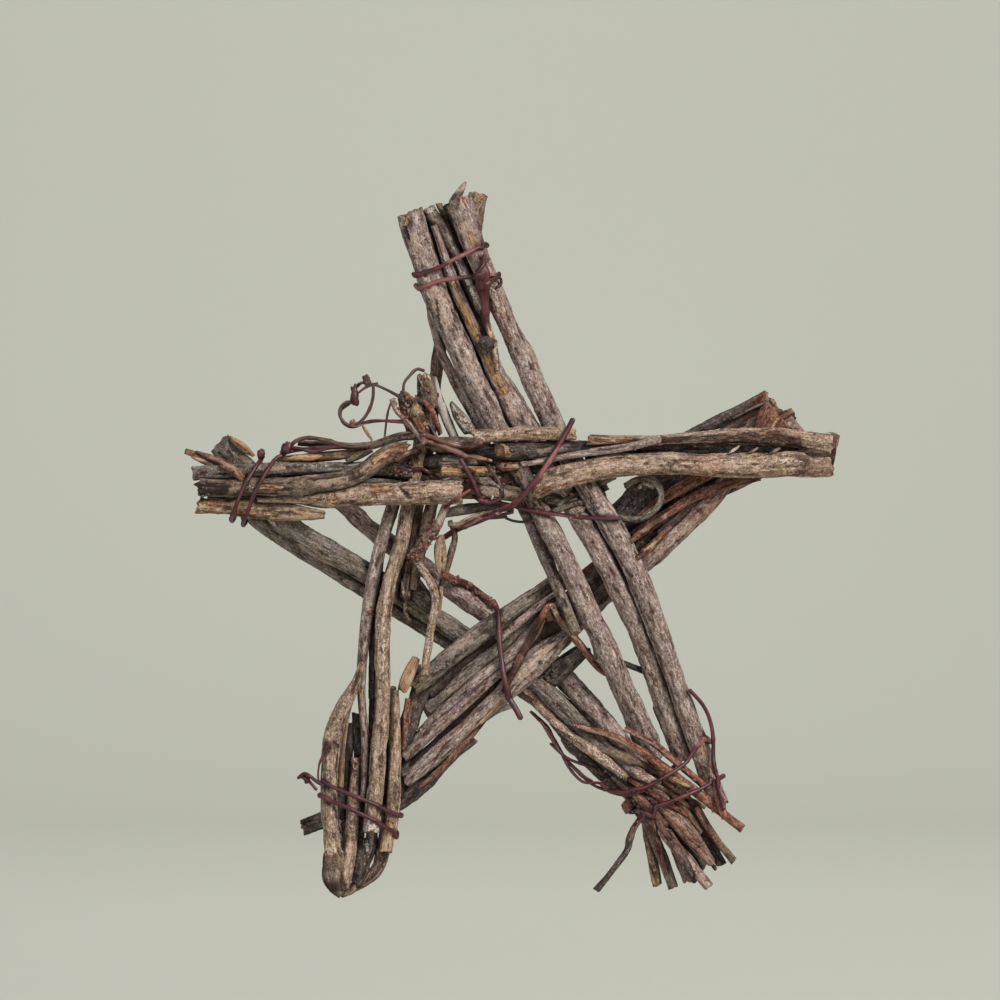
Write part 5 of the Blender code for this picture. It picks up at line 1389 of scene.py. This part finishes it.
addLooseTwigs(False)
addLooseTwigs(True)
print("loose twigs made:", len(looseTwigs))

tightening = {
    "step": 0.0014,
    "rounds": 130,
    "looseRounds": 12,
    "touch": 0.82,
    "reach": 0.008,
    "inFront": 0.0008,
    "ends": (0, 0.09, 0.16, 0.80, 0.90, 1),
}


def solidFront(x, z):
    # The front of the frame's own twigs at a place, or None
    fronts = []
    for node, (least, most, solid) in solidTrees.items():
        if node not in vineLooks and least[0] < x < most[0] and least[2] < z < most[2]:
            front = frontAt(solid, x, z)
            if front is not None:
                fronts.append(front)
    return min(fronts, default=None)


def drawTight(path, tree, bundle):
    # A vine lifted over what lies in front, and, round a bundle, drawn in without sliding along it
    path = smoothPath(path, tightening["step"])
    places = path[:, :3]
    clear = path[:, 3] * tightening["touch"]
    inFront = []
    for x, y, z in places:
        front = solidFront(x, z)
        inFront.append(front is not None and y < front + tightening["inFront"])
    if bundle:
        (x0, z0), (x1, z1) = toPlane(bundle[0]), toPlane(bundle[1])
        axis = unit(np.array([x1 - x0, 0.0, z1 - z0]))
    for _ in range(tightening["rounds"] if bundle else tightening["looseRounds"]):
        pull = (places[:-2] + places[2:]) / 2 - places[1:-1]
        if bundle:
            pull -= (pull @ axis)[:, None] * axis
        places[1:-1] += 0.5 * pull
        for i, place in enumerate(places):
            if inFront[i]:
                front = frontAt(tree, place[0], place[2])
                if front is not None:
                    place[1] = min(place[1], front - clear[i])
            spot, normal, _, gap = tree.find_nearest(Vector(place), tightening["reach"])
            if spot is None:
                continue
            out = Vector(place) - spot
            if out.dot(normal) < 0:
                places[i] = spot + normal * clear[i]
            elif gap < clear[i]:
                places[i] = spot + out.normalized() * clear[i]
        keepBehind(path)
    return smoothPath(path, vineBuild["rowStep"])


def shownParts(path, hidden):
    # The parts of a vine outside a box where bark covers it
    if hidden is None:
        return [path]
    (left, top), (right, low) = toPlane(hidden[0]), toPlane(hidden[1])
    out = ~((path[:, 0] > left) & (path[:, 0] < right) & (path[:, 2] < top) & (path[:, 2] > low))
    edges = np.nonzero(np.diff(out.astype(int)))[0] + 1
    return [part for part in np.split(path, edges)[(0 if out[0] else 1)::2] if len(part) > 12]


def addVine(name, look, tubes, nodes=()):
    addPiece(name + "_skin", tubes, vineSkins[look["tone"]], nodes)


tree = frontTree()
for order, (node, look) in enumerate(vineLooks.items()):
    path = tubePath(node, vineBuild["rowStep"])
    path[:, 3] *= vineBuild["slimmer"] * look.get("thick", 1.0)
    first, last = look.get("ends", (1.0, 1.0))
    at = np.linspace(0, 1, len(path))
    path[:, 3] *= np.interp(at, tightening["ends"], (first, first, 1, 1, last, last))
    paths = shownParts(path, look.get("hidden"))
    if not look.get("stays"):
        paths = [drawTight(part, tree, look.get("bundle")) for part in paths]
    addVine(node, look, [vineTube(part, seeds["vine"] + order, look.get("flat")) for part in paths], [node])
print("vines made:", len(vineLooks))

tree = frontTree()
for order, (name, look) in enumerate(looseVines.items()):
    path = layPath(tree, planOf(look["widths"], look["points"]))
    addVine(name, look, [vineTube(path, seeds["looseVine"] + order)])
print("loose vines made:", len(looseVines))

lumpBuild = {"rows": 12, "sides": 14, "crumbRows": 7, "crumbSides": 8, "rough": 0.28, "pole": 0.25}


def lumpRows(centre, axis, long, wide, seed, rows, sides):
    # A small rough lump, closed at both ends
    turns = np.linspace(math.pi - lumpBuild["pole"], lumpBuild["pole"], rows)
    theta = np.linspace(-math.pi, math.pi, sides, endpoint=False)
    axis = unit(np.array(axis, dtype=float))
    front = unit(np.cross(axis, [0.31, 0.87, 0.12]))
    side = np.cross(front, axis)
    around = front * np.cos(theta)[:, None] + side * np.sin(theta)[:, None]
    shape = (np.sin(turns)[:, None, None] * around[None] * wide / 2
             + np.cos(turns)[:, None, None] * axis * long / 2)
    space = shape * 1000 + seed * 3.7
    shape = shape * (1 + lumpBuild["rough"] * layeredNoise(space * 1.1, seed, 2))[..., None]
    blank = np.zeros((rows, sides, 3))
    return {"grid": centre + shape, "barkSpace": space, "marks": blank, "wear": blank, "form": blank}


lumpSkins = dict(barks, red=vineSkins["red"])
rng = np.random.default_rng(seeds["lumps"])
for name, (across, down, depth, long, wide, tone) in looseLumps.items():
    x, z = toPlane((across, down))
    rows = lumpRows(np.array([x, depth / 1000, z]), (rng.uniform(-0.5, 0.5), 0.0, 1.0),
                    long * sheet["metresAcross"], wide * sheet["metresAcross"],
                    int(rng.integers(1, 900)), lumpBuild["rows"], lumpBuild["sides"])
    addPiece(name + "_lump", [rows], lumpSkins[tone])
for tone, spots in crumbSpots.items():
    crumbs = []
    for across, down, spread, count, size in spots:
        for _ in range(count):
            turn = rng.uniform(0, 2 * math.pi)
            away = spread * math.sqrt(rng.uniform(0, 1))
            x, z = toPlane((across + away * math.cos(turn), down + away * math.sin(turn)))
            front = frontAt(tree, x, z)
            if front is None:
                continue
            long = size * rng.uniform(0.5, 1.2) * sheet["metresAcross"]
            axis = (rng.normal(), 0.3 * rng.normal(), rng.normal())
            crumbs.append(lumpRows(np.array([x, front - 0.1 * long, z]), axis, long,
                                   long * rng.uniform(0.4, 0.8), int(rng.integers(1, 900)),
                                   lumpBuild["crumbRows"], lumpBuild["crumbSides"]))
    addPiece(tone + "_crumbs", crumbs, lumpSkins[tone])
print("crumbs made")

# Stage: a pale floor that curves up into a plain wall, well behind the star
stageLook = {"floorDrop": 0.12, "halfWidth": 6.0, "frontEdge": -5.0, "wallAt": 3.6, "curve": 1.2,
             "wallTop": 5.0, "curveSteps": 13, "colour": "babbae", "cloud": "c4c5b8"}


def makeStage():
    surface = Surface("paleStage")
    place = surface.node("ShaderNodeTexCoord", output=3)
    cloud = surface.noise(place, 0.6, 2.0)
    colour = surface.layered(tint(stageLook["colour"]), [(stageLook["cloud"], cloud)])
    material = surface.finish(colour, 0.9, surface.bump(surface.noise(place, 60.0), 0.05, 0.001))
    low = cadBox[0][2] - stageLook["floorDrop"]
    profile = [(stageLook["frontEdge"], low)]
    for turn in np.linspace(0, math.pi / 2, stageLook["curveSteps"]):
        profile.append((stageLook["wallAt"] - stageLook["curve"] * (1 - math.sin(turn)),
                        low + stageLook["curve"] * (1 - math.cos(turn))))
    profile.append((stageLook["wallAt"], low + stageLook["wallTop"]))
    wide = stageLook["halfWidth"]
    verts = [(x, y, z) for y, z in profile for x in (-wide, wide)]
    faces = [(2 * i, 2 * i + 1, 2 * i + 3, 2 * i + 2) for i in range(len(profile) - 1)]
    mesh = bpy.data.meshes.new("stage_floor")
    mesh.from_pydata(verts, [], faces)
    mesh.materials.append(material)
    mesh.shade_smooth()
    floor = bpy.data.objects.new("stage_floor", mesh)
    bpy.context.scene.collection.objects.link(floor)


makeStage()
print("stage made")

starAim = (0.02, 0.0, -0.1)
wallAim = (0.0, 3.6, 0.2)
lightLooks = {
    "key_light": {"at": (1.3, -1.7, 1.2), "aim": starAim, "size": 0.9, "power": 68.0,
                  "colour": (1.0, 0.98, 0.955)},
    "fill_light": {"at": (-1.6, -1.6, 0.3), "aim": starAim, "size": 1.6, "power": 16.0,
                   "colour": (0.93, 0.96, 1.0)},
    "wall_light": {"at": (0.0, 1.2, 2.4), "aim": wallAim, "size": 2.0, "power": 54.0,
                   "colour": (1.0, 1.0, 1.0)},
}
for name, look in lightLooks.items():
    data = bpy.data.lights.new(name, "AREA")
    data.size = look["size"]
    data.energy = look["power"]
    data.color = look["colour"]
    light = bpy.data.objects.new(name, data)
    bpy.context.scene.collection.objects.link(light)
    light.location = look["at"]
    light.rotation_euler = (Vector(look["aim"]) - light.location).to_track_quat("-Z", "Y").to_euler()

roomLook = {"colour": (0.80, 0.82, 0.85, 1.0), "strength": 0.30}
world = bpy.data.worlds.new("softRoom")
bpy.context.scene.world = world
world.use_nodes = True
background = world.node_tree.nodes["Background"]
background.inputs["Color"].default_value = roomLook["colour"]
background.inputs["Strength"].default_value = roomLook["strength"]

cameraLook = {"distance": 2.0, "sensor": 36.0}
cameraData = bpy.data.cameras.new("camera")
cameraData.sensor_width = cameraLook["sensor"]
frameWidth = sheet["frameSquares"] * sheet["metresAcross"]
cameraData.lens = cameraLook["sensor"] * cameraLook["distance"] / frameWidth
camera = bpy.data.objects.new("camera", cameraData)
bpy.context.scene.collection.objects.link(camera)
aimX, aimZ = toPlane(sheet["middleSquare"])
camera.location = (aimX, (cadBox[0][1] + cadBox[1][1]) / 2 - cameraLook["distance"], aimZ)
camera.rotation_euler = (math.pi / 2, 0.0, 0.0)
bpy.context.scene.camera = camera
bpy.context.scene.view_settings.view_transform = "Standard"
print("lights and camera made")
